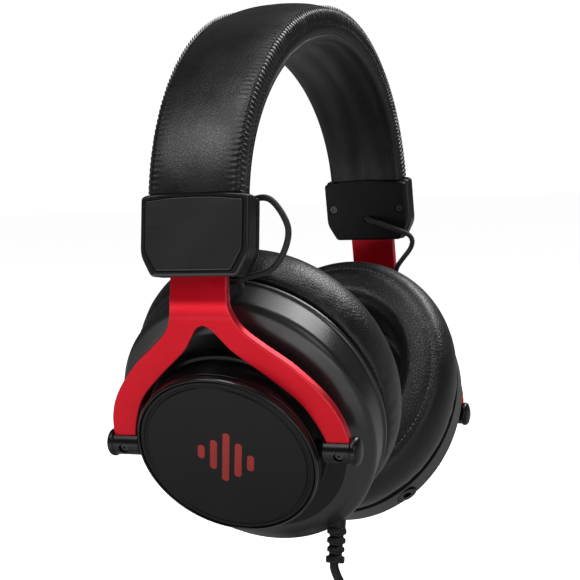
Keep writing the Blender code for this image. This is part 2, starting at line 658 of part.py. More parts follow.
# ---- both sides ----
for side in ("left", "right"):
    shift = Matrix.Translation(slide_vec(side))
    CUP_M = cup_matrix(side)
    piv = world_point(side, CUP_M, (0, 0, 0))
    emit(side + "_block_outer", block_outer(), "black_plastic", side, BLOCK_M)
    emit(side + "_block_face", block_face(), "satin_plastic", side, BLOCK_M)
    emit(side + "_block_inner", block_inner(), "black_plastic", side, BLOCK_M)
    for tag, s in (("front", -1), ("rear", 1)):
        emit(side + "_block_screw_" + tag, screw_solid(-HALF_T + 0.5, 3.2, 1.7, 0.8, s * SCREW_Y, SCREW_U), "dark_steel", side, BLOCK_M)
    emit(side + "_detent_spring", detent_spring(), "steel", side, BLOCK_M)
    slide_origin = world_point(side, shift @ BLOCK_M, (0, 0, 0))
    emit(side + "_fork", fork_mesh(), "red_metal", side, shift, slide_origin)
    for tag, s in (("front", -1), ("rear", 1)):
        emit(side + "_pivot_post_" + tag, post(s), "black_plastic", side, shift @ ARM_M, slide_origin)
        emit(side + "_post_screw_" + tag, screw_solid(POST_R - 0.9, -3.0, 1.45, 0.85, s * 39.5, 0.0, 1.0), "dark_steel", side, shift @ ARM_M, slide_origin)
    emit(side + "_housing", housing(side), "gloss_plastic", side, CUP_M, piv)
    emit(side + "_hub", hub(), "black_plastic", side, CUP_M, piv)
    emit(side + "_cover_disc", cover_disc(), "satin_plastic", side, CUP_M, piv)
    emit(side + "_trim_ring", trim_ring(), "gloss_plastic", side, CUP_M, piv)
    emit(side + "_baffle", baffle(), "black_plastic", side, CUP_M, piv)
    emit(side + "_driver_frame", driver_frame(), "dark_steel", side, CUP_M, piv)
    emit(side + "_driver_magnet", magnet(), "steel", side, CUP_M, piv)
    emit(side + "_diaphragm", diaphragm(), "film", side, CUP_M, piv)
    emit(side + "_ear_cloth", ear_cloth(), "fabric", side, CUP_M, piv)
    emit(side + "_cushion", cushion(), "leatherette", side, CUP_M, piv)
    if side == "left":
        emit("left_terminal_board", box((-21.5, -32.0, -34.0), (-20.0, -14.0, -22.0)), "board", side, CUP_M, piv)
        emit("left_cord_boot", boot(), "rubber", side, CUP_M, piv)
    else:
        emit("right_mic_socket", mic_socket(), "black_plastic", side, CUP_M, piv)

# ---- cables ----
LEFT_CUP = cup_matrix("left")
RIGHT_CUP = cup_matrix("right")


def mirrored(v):
    return Vector((-v.x, v.y, v.z))


# bridge cable: from the block's inner cover, one loop at the front, into the cup top
ctrl_l = [BLOCK_M @ Vector(p) for p in ((-3.2, 0, 10.0), (-6.6, -0.6, 10.6), (-9.2, -4.0, 16.0), (-9.0, -12.5, 24.6), (-8.5, -20.5, 25.6), (-8.0, -26.6, 17.5), (-9.0, -25.2, 7.5), (-11.5, -18.5, 0.5))]
ctrl_l += [LEFT_CUP @ Vector(p) for p in ((-20.6, -9.0, 54.0), (-20.4, -8.0, 50.5))]
emit("left_bridge_cable", tube(smooth_path(ctrl_l, 4), 1.05, 1), "braid", "left")
ctrl_r = [BLOCK_M @ Vector(p) for p in ((-3.2, 0, 10.0), (-6.6, -0.6, 10.2), (-9.0, -6.0, 9.0), (-10.0, -14.5, 6.0), (-10.5, -20.8, 3.0), (-12.5, -21.4, -1.5), (-17.0, -16.0, -9.0))]
ctrl_r += [RIGHT_CUP @ Vector(p) for p in ((-20.6, -11.0, 53.5), (-20.4, -8.0, 50.5))]
emit("right_bridge_cable", tube(smooth_path(ctrl_r, 4), 1.05, 1), "braid", "right")

# cord from the boot, down to a coil tied on the table
boot_end = mirrored(LEFT_CUP @ (BOOT_P + BOOT_D * (BOOT_LEN - 3.0)))
boot_out = mirrored(LEFT_CUP @ (BOOT_P + BOOT_D * (BOOT_LEN + 2.0)))
z0 = TABLE_Z + CORD_D / 2 + 1.2


def coil_lane(t):
    """Lane (0 innermost) and layer of the wound cord after t turns."""
    k = math.floor(t)
    f = ease((t - k) / COIL_SHIFT)
    lane = abs(COIL_LANES - 1 - k)
    before = COIL_LANES - k if k < COIL_LANES else k - COIL_LANES
    return before + (lane - before) * f, ease((t - (COIL_LANES - 1) - 0.45) / 0.35)


def coil_point(t):
    lane, layer = coil_lane(t)
    a = COIL_START + math.tau * t
    r = COIL_R0 + COIL_STEP * lane
    return Vector((COIL_C[0] + r * math.cos(a), COIL_C[1] + r * math.sin(a), z0 + COIL_STEP * layer))


COIL_TURNS = 2 * COIL_LANES - 1
coil = [coil_point(i / COIL_K) for i in range(COIL_TURNS * COIL_K)]
first = coil[0]
tang = (coil[1] - coil[0]).normalized()
out_at = coil_point(COIL_TURNS - 1e-6)
out_dir = Vector((-math.sin(COIL_START), math.cos(COIL_START), 0))
tail = [out_at] + [out_at + out_dir * d - Vector((0, 0, h)) for d, h in ((6.0, 0.0), (12.0, 0.0), (17.0, 0.9), (22.0, 2.0), (27.0, 2.8), (33.0, 3.0))]
drop_ctrl = [boot_end, boot_out, boot_out + Vector((-0.5, -3.5, -7.0)), boot_out + Vector((0.0, -9.0, -15.0)), boot_out + Vector((0.5, -14.0, -28.0)), first - tang * 26 + Vector((-1.5, -2.0, 11.0)), first - tang * 15 + Vector((0, 0, 3.0)), first - tang * 6 + Vector((0, 0, 0.3)), first - tang * 0.4]
emit("cord_drop", tube(smooth_path(drop_ctrl, 5), CORD_D / 2, 1), "rubber", "right")
emit("cord_coil", tube(coil + tail, CORD_D / 2, 1), "rubber", "right")

# strap round the wound turns
TIE_ANGLE = COIL_START + math.tau * (8.5 / COIL_K)
lo, hi = COIL_R0 - CORD_D / 2 - 0.7, COIL_R0 + COIL_STEP * (COIL_LANES - 1) + CORD_D / 2 + 0.4
zl, zh = z0 - CORD_D / 2 - 0.3, z0 + COIL_STEP + CORD_D / 2 + 0.3
tie = box((lo - 0.9, -TIE_W / 2, zl - 0.9), (hi + 0.9, TIE_W / 2, zh + 0.9), 0.6, 2)
tie = carve(tie, [box((lo, -TIE_W, zl), (hi, TIE_W, zh))])
tie_m = Matrix.Translation((COIL_C[0], COIL_C[1], 0)) @ Matrix.Rotation(TIE_ANGLE, 4, "Z")
emit("cord_tie", tie, "rubber", "right", tie_m)

# plug on the free end, lying beside the coil
p0 = tail[-1] + out_dir * GAP
p0.z = TABLE_Z + PLUG_R
plug_dir = out_dir


def along(prof, steps, p, d, closed=False):
    bm = revolve(prof, steps, closed=closed)
    rot = Vector((1, 0, 0)).rotation_difference(d).to_matrix().to_4x4()
    bmesh.ops.transform(bm, matrix=Matrix.Translation(p) @ rot, verts=bm.verts)
    return bm


emit("plug_body", along([(0, 0), (1.7, 0), (1.9, 6.0), (PLUG_R, 7.2), (PLUG_R, 22.0), (2.5, 22.8), (0, 22.8)], 16, p0, plug_dir), "rubber", "right")
emit("plug_tip", along([(0, 0), (1.75, 0), (1.75, 10.6), (1.35, 11.2), (1.6, 12.2), (1.0, 14.0), (0, 14.0)], 14, p0 + plug_dir * (22.8 + GAP), plug_dir), "gold", "right")
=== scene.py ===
import math
import random

import bpy
import bmesh
from mathutils import Matrix, Vector, noise


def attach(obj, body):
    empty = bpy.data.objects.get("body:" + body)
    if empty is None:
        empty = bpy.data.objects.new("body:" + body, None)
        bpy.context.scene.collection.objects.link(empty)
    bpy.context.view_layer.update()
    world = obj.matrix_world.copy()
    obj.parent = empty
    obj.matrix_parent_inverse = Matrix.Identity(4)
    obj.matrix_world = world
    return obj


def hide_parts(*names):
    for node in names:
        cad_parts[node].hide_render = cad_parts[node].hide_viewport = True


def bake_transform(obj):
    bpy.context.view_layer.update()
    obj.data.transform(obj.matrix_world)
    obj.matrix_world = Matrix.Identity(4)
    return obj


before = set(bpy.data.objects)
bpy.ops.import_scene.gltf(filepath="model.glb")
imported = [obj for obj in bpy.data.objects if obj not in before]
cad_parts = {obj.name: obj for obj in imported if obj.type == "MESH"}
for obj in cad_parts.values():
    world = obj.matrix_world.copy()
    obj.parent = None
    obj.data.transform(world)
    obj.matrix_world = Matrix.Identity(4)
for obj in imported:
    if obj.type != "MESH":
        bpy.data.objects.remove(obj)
for _name in ("Cube", "Light", "Camera"):
    if _name in bpy.data.objects:
        bpy.data.objects.remove(bpy.data.objects[_name], do_unlink=True)
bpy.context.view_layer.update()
random.seed(7)
MM = 0.001

# ------------------------------------------------------------------ dimensions
BAND_A, BAND_B, BAND_APEX, BAND_END = 93.9, 73.1, 10.8, 9.0
BAND_Z0 = BAND_APEX - BAND_B
W_TOP, W_END = 17.6, 15.8
PAD_TOP, PAD_END = 10.8, 8.8
BLOCK = (91.75, -80.2, -8.3)
BLOCK_HW, BLOCK_H, HALF_T = 19.0, 27.0, 5.7
CH_W, CH_H = 3.9, 6.4
STEM_HW, STEM_T = 10.0, 3.0
SLIDE = {"left": 0.0, "right": 16.0}
PIVOT = (72.84, -139.55)
TILT = {"left": 26.5, "right": 32.5}
RIM_R, DISC_R, DISC_N = 32.3, 31.1, 6.0
FRONT_N, WALL_N, BACK_N = -10.2, -13.8, -26.4
HOUSE_R, OVAL, DROP = 46.3, 1.13, -2.5
CU_IN, CU_OUT, CU_N0, CU_N1 = 26.0, 48.6, -28.7, -53.0
CORD_D = 3.2
TABLE = -262.0


def frame_matrix(ox, oz, lean):
    a = math.radians(lean)
    m = Matrix.Identity(4)
    m.col[0][:3] = (math.cos(a), 0, -math.sin(a))
    m.col[1][:3] = (0, 1, 0)
    m.col[2][:3] = (math.sin(a), 0, math.cos(a))
    m.col[3][:3] = (ox, 0, oz)
    return m


BLOCK_M = frame_matrix(*BLOCK)
BLOCK_U = Vector((math.sin(math.radians(BLOCK[2])), 0, math.cos(math.radians(BLOCK[2]))))
SHIFT = {s: Matrix.Translation(-BLOCK_U * SLIDE[s]) for s in SLIDE}
CUP = {}
for _s in SLIDE:
    _o = Vector((PIVOT[0], 0, PIVOT[1])) - BLOCK_U * SLIDE[_s]
    CUP[_s] = frame_matrix(_o.x, _o.z, TILT[_s])


def mirrored(v):
    return Vector((-v.x, v.y, v.z))


def world_of(side, m, p):
    v = m @ Vector(p)
    return (mirrored(v) if side == "left" else v) * MM


# ------------------------------------------------------------------ mesh helpers
def smooth_path(ctrl, n):
    pts = [Vector(c) for c in ctrl]
    pts = [pts[0] * 2 - pts[1]] + pts + [pts[-1] * 2 - pts[-2]]
    out = []
    for i in range(1, len(pts) - 2):
        p0, p1, p2, p3 = pts[i - 1:i + 3]
        for j in range(n):
            t = j / n
            out.append(0.5 * ((2 * p1) + (p2 - p0) * t + (2 * p0 - 5 * p1 + 4 * p2 - p3) * t * t + (3 * p1 - p0 - 3 * p2 + p3) * t ** 3))
    out.append(pts[-2])
    return out


def ease(x):
    x = min(max(x, 0.0), 1.0)
    return x * x * (3 - 2 * x)


def temp(data):
    ob = bpy.data.objects.new("tmp", data)
    bpy.context.scene.collection.objects.link(ob)
    return ob


def baked(ob):
    dg = bpy.context.evaluated_depsgraph_get()
    me = bpy.data.meshes.new_from_object(ob.evaluated_get(dg))
    bm = bmesh.new()
    bm.from_mesh(me)
    bpy.data.meshes.remove(me)
    return bm


def dispose(ob):
    data = ob.data
    bpy.data.objects.remove(ob, do_unlink=True)
    if isinstance(data, bpy.types.Mesh):
        bpy.data.meshes.remove(data)
    elif isinstance(data, bpy.types.Curve):
        bpy.data.curves.remove(data)


def outward(bm, weld=0.001):
    bmesh.ops.remove_doubles(bm, verts=bm.verts, dist=weld)
    bmesh.ops.recalc_face_normals(bm, faces=bm.faces)
    if bm.calc_volume(signed=True) < 0:
        bmesh.ops.reverse_faces(bm, faces=bm.faces)
    return bm


def fillet(pts, r, seg=4, closed=True):
    """Round the corners of a 2D outline: r is one radius or one for each point."""
    n, out = len(pts), []
    for i, p in enumerate(pts):
        p = Vector(p)
        if not closed and i in (0, n - 1):
            out.append(tuple(p))
            continue
        a, b = Vector(pts[i - 1]), Vector(pts[(i + 1) % n])
        rr = r[i] if isinstance(r, (list, tuple)) else r
        da, db = a - p, b - p
        cut = min(rr, da.length * 0.48, db.length * 0.48)
        if cut < 0.02 or da.length < 1e-6 or db.length < 1e-6 or da.angle(db) > 3.1:
            out.append(tuple(p))
            continue
        s, e = p + da.normalized() * cut, p + db.normalized() * cut
        for k in range(seg + 1):
            t = k / seg
            q = s * (1 - t) ** 2 + p * 2 * t * (1 - t) + e * t * t
            out.append(tuple(q))
    return out


def revolve(profile, steps=112, oval=1.0, closed=True, centre=0.0):
    """Ring of (radius, n) points turned round the n axis."""
    bm = bmesh.new()
    rings = []
    for i in range(steps):
        a = math.tau * i / steps
        c, s = math.cos(a), math.sin(a)
        rings.append([bm.verts.new((n, r * c, r * s * oval + centre)) for r, n in profile])
    k = len(profile)
    for i in range(steps):
        p, q = rings[i], rings[(i + 1) % steps]
        for j in range(k if closed else k - 1):
            m = (j + 1) % k
            bm.faces.new((p[j], p[m], q[m], q[j]))
    bmesh.ops.remove_doubles(bm, verts=bm.verts, dist=0.0005)
    bmesh.ops.dissolve_degenerate(bm, edges=bm.edges, dist=0.0002)
    return outward(bm, 0.0002)


def plate(outlines, t0, t1, bevel=0.0, res=2):
    cu = bpy.data.curves.new("tmp_plate", "CURVE")
    cu.dimensions = "2D"
    cu.fill_mode = "BOTH"
    cu.extrude = (t1 - t0) / 2 - bevel
    cu.bevel_depth = bevel
    cu.bevel_resolution = res
    cu.offset = -bevel
    for pts in outlines:
        sp = cu.splines.new("POLY")
        sp.points.add(len(pts) - 1)
        for i, (x, y) in enumerate(pts):
            sp.points[i].co = (x, y, 0, 1)
        sp.use_cyclic_u = True
    ob = temp(cu)
    bm = baked(ob)
    dispose(ob)
    bmesh.ops.translate(bm, vec=(0, 0, (t0 + t1) / 2), verts=bm.verts)
    return outward(bm, 0.002)


def box(lo, hi):
    bm = bmesh.new()
    bmesh.ops.create_cube(bm, size=1.0)
    lo, hi = Vector(lo), Vector(hi)
    for v in bm.verts:
        v.co = Vector([(hi[i] + lo[i]) / 2 + v.co[i] * (hi[i] - lo[i]) for i in range(3)])
    return outward(bm)


def cylinder(p0, p1, r, sides=32):
    p0, p1 = Vector(p0), Vector(p1)
    bm = bmesh.new()
    bmesh.ops.create_cone(bm, cap_ends=True, segments=sides, radius1=r, radius2=r, depth=(p1 - p0).length)
    rot = Vector((0, 0, 1)).rotation_difference((p1 - p0).normalized()).to_matrix().to_4x4()
    bmesh.ops.transform(bm, matrix=Matrix.Translation((p0 + p1) / 2) @ rot, verts=bm.verts)
    return outward(bm)


def carve(bm, cutters, op="DIFFERENCE"):
    me = bpy.data.meshes.new("tmp_body")
    bm.to_mesh(me)
    bm.free()
    ob = temp(me)
    extra = []
    for c in cutters:
        cm = bpy.data.meshes.new("tmp_cutter")
        c.to_mesh(cm)
        c.free()
        co = temp(cm)
        extra.append(co)
        mod = ob.modifiers.new("cut", "BOOLEAN")
        mod.operation = op
        mod.solver = "EXACT"
        mod.object = co
    bpy.context.view_layer.update()
    out = baked(ob)
    for co in extra:
        dispose(co)
    dispose(ob)
    return outward(out, 0.0005)


def transport(points):
    """Parallel frames along a path."""
    frames, ref = [], None
    for i, p in enumerate(points):
        t = (points[min(i + 1, len(points) - 1)] - points[max(i - 1, 0)]).normalized()
        if ref is None:
            ref = t.orthogonal().normalized()
        else:
            ref = (ref - t * ref.dot(t)).normalized()
        frames.append((p, t, ref, t.cross(ref)))
    return frames


def tube(points, radius, sides=12):
    """Closed tube; radius is a number or f(ring, angle)."""
    bm = bmesh.new()
    rings = []
    for i, (p, t, a, b) in enumerate(transport(points)):
        ring = []
        for k in range(sides):
            ang = math.tau * k / sides
            r = radius(i, ang) if callable(radius) else radius
            ring.append(bm.verts.new(p + (a * math.cos(ang) + b * math.sin(ang)) * r))
        rings.append(ring)
    for p, q in zip(rings, rings[1:]):
        for k in range(sides):
            m = (k + 1) % sides
            bm.faces.new((p[k], p[m], q[m], q[k]))
    bm.faces.new(rings[0][::-1])
    bm.faces.new(rings[-1])
    return outward(bm, 0.00001)


def loft(sections, cap=True):
    bm = bmesh.new()
    rings = [[bm.verts.new(p) for p in sec] for sec in sections]
    k = len(rings[0])
    for a, b in zip(rings, rings[1:]):
        for i in range(k):
            j = (i + 1) % k
            bm.faces.new((a[i], a[j], b[j], b[i]))
    if cap:
        bm.faces.new(rings[0][::-1])
        bm.faces.new(rings[-1])
    return outward(bm, 0.00001)


def place(name, bm, mat, body, side="right", m=None, nodes=(), angle=32.0, bevel=0.0):
    """World placing, shading, material, riding and replacing in one go."""
    if m is not None:
        bmesh.ops.transform(bm, matrix=m, verts=bm.verts)
    if side == "left":
        bmesh.ops.transform(bm, matrix=Matrix.Scale(-1.0, 4, Vector((1, 0, 0))), verts=bm.verts)
        bmesh.ops.reverse_faces(bm, faces=bm.faces)
    bmesh.ops.scale(bm, vec=(MM, MM, MM), verts=bm.verts)
    for f in bm.faces:
        f.smooth = True
    lim = math.radians(angle)
    for e in bm.edges:
        if len(e.link_faces) == 2 and e.calc_face_angle(0.0) > lim:
            e.smooth = False
    me = bpy.data.meshes.new(name)
    bm.to_mesh(me)
    bm.free()
    ob = bpy.data.objects.new(name, me)
    bpy.context.scene.collection.objects.link(ob)
    me.materials.append(mat)
    if bevel:
        mod = ob.modifiers.new("edge", "BEVEL")
        mod.width = bevel * MM
        mod.segments = 2
        mod.limit_method = "ANGLE"
        mod.angle_limit = math.radians(max(angle, 35))
        mod.harden_normals = False
    if body:
        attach(ob, body)
    if nodes:
        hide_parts(*nodes)
    return ob


# ------------------------------------------------------------------ materials
class Nodes:
    """Short hand for building a node material."""

    def __init__(self, name, rgb, rough, metal=0.0, **sockets):
        self.m = bpy.data.materials.new(name)
        self.m.use_nodes = True
        self.t = self.m.node_tree
        self.p = self.t.nodes["Principled BSDF"]
        self.p.inputs["Base Color"].default_value = (*rgb, 1)
        self.p.inputs["Roughness"].default_value = rough
        self.p.inputs["Metallic"].default_value = metal
        self.m.diffuse_color = (*rgb, 1)
        for k, v in sockets.items():
            self.p.inputs[k.replace("_", " ")].default_value = v
        self.co = self.new("ShaderNodeTexCoord").outputs["Object"]

    def new(self, kind, **props):
        n = self.t.nodes.new(kind)
        for k, v in props.items():
            setattr(n, k, v)
        return n

    def link(self, a, b):
        self.t.links.new(a, b)

    def mapped(self, scale=(1, 1, 1), rot=(0, 0, 0), src=None):
        n = self.new("ShaderNodeMapping")
        n.inputs["Scale"].default_value = scale
        n.inputs["Rotation"].default_value = rot
        self.link(src or self.co, n.inputs["Vector"])
        return n.outputs[0]

    def noise(self, scale, detail=3.0, rough=0.5, src=None, distortion=0.0):
        n = self.new("ShaderNodeTexNoise")
        n.inputs["Scale"].default_value = scale
        n.inputs["Detail"].default_value = detail
        n.inputs["Roughness"].default_value = rough
        n.inputs["Distortion"].default_value = distortion
        self.link(src or self.co, n.inputs["Vector"])
        return n.outputs["Fac"]

    def cells(self, scale, feature="F1", src=None):
        n = self.new("ShaderNodeTexVoronoi", feature=feature)
        n.inputs["Scale"].default_value = scale
        self.link(src or self.co, n.inputs["Vector"])
        return n.outputs["Distance"]

    def math(self, op, a, b=0.0, c=None):
        n = self.new("ShaderNodeMath", operation=op)
        for i, v in enumerate((a, b) if c is None else (a, b, c)):
            if isinstance(v, (int, float)):
                n.inputs[i].default_value = v
            else:
                self.link(v, n.inputs[i])
        return n.outputs[0]

    def remap(self, src, lo, hi, fl=0.0, fh=1.0):
        n = self.new("ShaderNodeMapRange")
        n.inputs["From Min"].default_value = fl
        n.inputs["From Max"].default_value = fh
        n.inputs["To Min"].default_value = lo
        n.inputs["To Max"].default_value = hi
        self.link(src, n.inputs["Value"])
        return n.outputs["Result"]

    def ramp(self, src, stops):
        n = self.new("ShaderNodeValToRGB")
        while len(n.color_ramp.elements) < len(stops):
            n.color_ramp.elements.new(0.5)
        for e, (pos, rgb) in zip(n.color_ramp.elements, stops):
            e.position = pos
            e.color = (*rgb, 1)
        self.link(src, n.inputs["Fac"])
        return n.outputs["Color"]

    def colour(self, out):
        self.link(out, self.p.inputs["Base Color"])

    def rough(self, out):
        self.link(out, self.p.inputs["Roughness"])

    def bump(self, out, strength, dist_mm, prev=None):
        n = self.new("ShaderNodeBump")
        n.inputs["Strength"].default_value = strength
        n.inputs["Distance"].default_value = dist_mm * MM
        self.link(out, n.inputs["Height"])
        if prev is not None:
            self.link(prev, n.inputs["Normal"])
        self.link(n.outputs[0], self.p.inputs["Normal"])
        return n.outputs[0]


def leatherette(name, base=(0.010, 0.010, 0.011), rough=(0.36, 0.5), grain=0.55):
    n = Nodes(name, base, 0.45, 0.0, Specular_IOR_Level=0.5, Sheen_Weight=0.05, Sheen_Roughness=0.4, Coat_Weight=0.06, Coat_Roughness=0.32)
    big = n.noise(55.0, 4.0, 0.6)
    warp = n.new("ShaderNodeMixRGB", blend_type="ADD")
    warp.inputs["Fac"].default_value = 0.0009
    n.link(n.co, warp.inputs[1])
    fine = n.new("ShaderNodeTexNoise")
    fine.inputs["Scale"].default_value = 900.0
    n.link(n.co, fine.inputs["Vector"])
    n.link(fine.outputs["Color"], warp.inputs[2])
    pebble = n.cells(1150.0, "SMOOTH_F1", warp.outputs[0])
    crease = n.cells(760.0, "DISTANCE_TO_EDGE", warp.outputs[0])
    n.colour(n.ramp(big, [(0.3, tuple(c * 0.8 for c in base)), (0.7, tuple(c * 1.35 for c in base))]))
    pore = n.math("MULTIPLY", n.math("MINIMUM", crease, 0.22), 3.5)
    n.rough(n.math("ADD", n.remap(big, rough[0], rough[1], 0.3, 0.7), n.math("MULTIPLY", n.math("SUBTRACT", 0.5, pore), 0.10)))
    b = n.bump(pore, grain, 0.10)
    b = n.bump(n.math("SUBTRACT", 0.6, pebble), grain * 0.5, 0.08, b)
    n.bump(n.noise(120.0, 3.0, 0.5), 0.25, 0.35, b)
    return n.m


def plastic(name, base, rough, fine=0.18, spread=0.06, scale=2600.0, **kw):
    n = Nodes(name, base, rough, 0.0, **kw)
    cloud = n.noise(38.0, 5.0, 0.6)
    grit = n.noise(scale, 2.0, 0.5)
    n.colour(n.ramp(cloud, [(0.3, tuple(c * 0.86 for c in base)), (0.7, tuple(c * 1.16 for c in base))]))
    n.rough(n.math("ADD", n.remap(cloud, rough - spread, rough + spread, 0.3, 0.7), n.math("MULTIPLY", grit, 0.03)))
    n.bump(grit, fine, 0.02)
    return n.m


def red_metal(name):
    base = (0.70, 0.006, 0.022)
    n = Nodes(name, base, 0.34, 0.55, Specular_IOR_Level=0.3)
    streak = n.noise(900.0, 2.0, 0.5, n.mapped((0.05, 1.0, 0.05)))
    cloud = n.noise(30.0, 4.0, 0.55)
    # painted highlight: convex edges (Pointiness) are mixed toward a lighter pink to paint the bevel highlight into the
    # base colour
    geo = n.new("ShaderNodeNewGeometry")
    edge = n.remap(geo.outputs["Pointiness"], 0.0, 1.0, 0.515, 0.56)
    edge_highlight_mix = n.new("ShaderNodeMixRGB")
    n.link(edge, edge_highlight_mix.inputs["Fac"])
    n.link(n.ramp(cloud, [(0.3, (0.66, 0.003, 0.014)), (0.7, (0.78, 0.006, 0.022))]), edge_highlight_mix.inputs[1])
    edge_highlight_mix.inputs[2].default_value = (0.86, 0.10, 0.14, 1)
    n.colour(edge_highlight_mix.outputs[0])
    n.rough(n.math("ADD", n.remap(cloud, 0.26, 0.36, 0.3, 0.7), n.math("MULTIPLY", streak, 0.06)))
    n.bump(n.math("ADD", streak, n.noise(2400.0, 2.0, 0.6)), 0.10, 0.015)
    return n.m


def brushed_face(name):
    base = (0.011, 0.0115, 0.013)
    n = Nodes(name, base, 0.40, 0.0, Specular_IOR_Level=0.7)
    line = n.noise(1500.0, 3.0, 0.6, n.mapped((1.0, 0.03, 1.0)))
    cloud = n.noise(42.0, 4.0, 0.5)
    n.colour(n.ramp(line, [(0.25, (0.009, 0.0095, 0.0105)), (0.75, (0.014, 0.0145, 0.016))]))
    n.rough(n.math("ADD", n.remap(cloud, 0.34, 0.42, 0.3, 0.7), n.math("MULTIPLY", line, 0.05)))
    n.bump(line, 0.14, 0.015)
    return n.m


def steel(name, base=(0.42, 0.43, 0.45), rough=0.28):
    n = Nodes(name, base, rough, 1.0)
    line = n.noise(1300.0, 3.0, 0.6, n.mapped((0.1, 1.0, 1.0)))
    n.colour(n.ramp(line, [(0.3, tuple(c * 0.85 for c in base)), (0.7, tuple(min(1, c * 1.1) for c in base))]))
    n.rough(n.remap(line, rough - 0.06, rough + 0.08, 0.3, 0.7))
    n.bump(line, 0.15, 0.01)
    return n.m


def braid(name, base=(0.012, 0.012, 0.013)):
    n = Nodes(name, base, 0.62, 0.0, Sheen_Weight=0.15, Sheen_Roughness=0.5)
    w1 = n.cells(1500.0)
    fib = n.noise(4200.0, 2.0, 0.6)
    n.colour(n.ramp(w1, [(0.1, tuple(c * 1.9 for c in base)), (0.6, tuple(c * 0.5 for c in base))]))
    n.rough(n.remap(fib, 0.5, 0.75, 0.3, 0.7))
    n.bump(n.math("SUBTRACT", 1.0, w1), 0.5, 0.08)
    return n.m


def mesh_cloth(name, base=(0.014, 0.014, 0.016)):
    n = Nodes(name, base, 0.85, 0.0, Sheen_Weight=0.25, Sheen_Roughness=0.4)
    a = n.new("ShaderNodeTexWave", wave_type="BANDS", bands_direction="Y")
    a.inputs["Scale"].default_value = 420.0
    b = n.new("ShaderNodeTexWave", wave_type="BANDS", bands_direction="Z")
    b.inputs["Scale"].default_value = 420.0
    n.link(n.co, a.inputs["Vector"])
    n.link(n.co, b.inputs["Vector"])
    w = n.math("MULTIPLY", a.outputs["Fac"], b.outputs["Fac"])
    n.colour(n.ramp(w, [(0.1, tuple(c * 0.45 for c in base)), (0.8, tuple(c * 1.9 for c in base))]))
    n.rough(n.remap(n.noise(700.0), 0.78, 0.92, 0.3, 0.7))
    n.bump(w, 0.6, 0.12)
    return n.m


M_BAND = leatherette("leatherette_band", (0.0055, 0.0055, 0.006), (0.30, 0.42), 0.26)
M_LINING = leatherette("leatherette_lining", (0.0028, 0.0028, 0.0030), (0.40, 0.52), 0.14)
M_CUSHION = leatherette("leatherette_cushion", (0.0070, 0.0070, 0.0082), (0.34, 0.46), 0.62)
M_THREAD = braid("thread_dark", (0.022, 0.022, 0.025))
M_THREAD_LIGHT = braid("thread_light", (0.16, 0.17, 0.21))
# near black: painted shade for the inside of the stitch holes, laid on the leather as capsules
M_HOLE_SHADE = plastic("hole_shade_dark", (0.002, 0.002, 0.002), 0.8)
M_RED = red_metal("red_anodised")
M_BLOCK = plastic("block_shell", (0.011, 0.011, 0.0125), 0.30, 0.12, Specular_IOR_Level=0.5)
M_FACE = brushed_face("block_brushed")
M_INNER = plastic("block_cover", (0.0045, 0.0045, 0.0048), 0.42, 0.25, Specular_IOR_Level=0.25)
M_POST = plastic("post_black", (0.005, 0.005, 0.0055), 0.28, 0.10, Specular_IOR_Level=0.35)
M_GLOSS = plastic("housing_gloss", (0.0035, 0.0035, 0.004), 0.20, 0.05, 0.03, Specular_IOR_Level=0.35)
M_WALL = plastic("housing_satin", (0.018, 0.0185, 0.0205), 0.28, 0.10, Specular_IOR_Level=0.7)
M_HUB = plastic("hub_satin", (0.004, 0.004, 0.0045), 0.25, 0.10, Specular_IOR_Level=0.35)
M_DISC = plastic("disc_matte", (0.007, 0.007, 0.0075), 0.40, 0.35, 0.04, 3400.0, Specular_IOR_Level=0.22)
M_TRIM = plastic("trim_gloss", (0.010, 0.010, 0.011), 0.2, 0.05, 0.03)
M_EMBLEM = plastic("emblem_red", (0.36, 0.018, 0.012), 0.55, 0.3)
M_RUBBER = plastic("rubber_black", (0.008, 0.008, 0.0085), 0.55, 0.5, 0.05, 1500.0)
M_BRAID = braid("cable_braid", (0.012, 0.012, 0.013))
M_CLOTH = mesh_cloth("driver_cloth")
M_STEEL = steel("spring_steel")
M_DARK = steel("screw_black", (0.07, 0.07, 0.075), 0.34)
M_GOLD = steel("gold_plate", (0.72, 0.50, 0.18), 0.2)
M_BOARD = plastic("board_green", (0.02, 0.13, 0.05), 0.4)
M_FILM = plastic("film", (0.30, 0.29, 0.25), 0.25)

# ------------------------------------------------------------------ camera
CAM_AZ, CAM_EL, CAM_ROLL = 0.371, 0.095, -0.042
fw = Vector((math.cos(CAM_EL) * math.cos(CAM_AZ), math.cos(CAM_EL) * math.sin(CAM_AZ), -math.sin(CAM_EL)))
right0 = Vector((math.sin(CAM_AZ), -math.cos(CAM_AZ), 0))
up0 = right0.cross(fw)
right = right0 * math.cos(CAM_ROLL) + up0 * math.sin(CAM_ROLL)
up = -right0 * math.sin(CAM_ROLL) + up0 * math.cos(CAM_ROLL)
cam_data = bpy.data.cameras.new("camera")
cam_data.lens = 84.29
cam_data.sensor_width = 36.0
cam_data.clip_start = 0.01
cam_data.clip_end = 20.0
cam = bpy.data.objects.new("camera", cam_data)
bpy.context.scene.collection.objects.link(cam)
cm = Matrix.Identity(4)
cm.col[0][:3], cm.col[1][:3], cm.col[2][:3] = right, up, -fw
cm.col[3][:3] = Vector((-488.17, -185.13, -43.88)) * MM
cam.matrix_world = cm
bpy.context.scene.camera = cam

# ------------------------------------------------------------------ cords
BOOT_P = Vector((-15.6, -25.0, -44.4))
BOOT_D = Vector((0.69, 0.0, -0.724)).normalized()
BOOT_LEN = 15.6
COIL_C, COIL_R0, COIL_STEP, LANES, COIL_K, COIL_SHIFT = (-14.0, 2.0), 10.8, 3.45, 5, 16, 0.3
COIL_START = math.radians(-100.0)
PLUG_R = 2.9
boot_end = mirrored(CUP["left"] @ (BOOT_P + BOOT_D * (BOOT_LEN - 3.0)))
boot_out = mirrored(CUP["left"] @ (BOOT_P + BOOT_D * (BOOT_LEN + 2.0)))
z0 = TABLE + CORD_D / 2 + 1.2


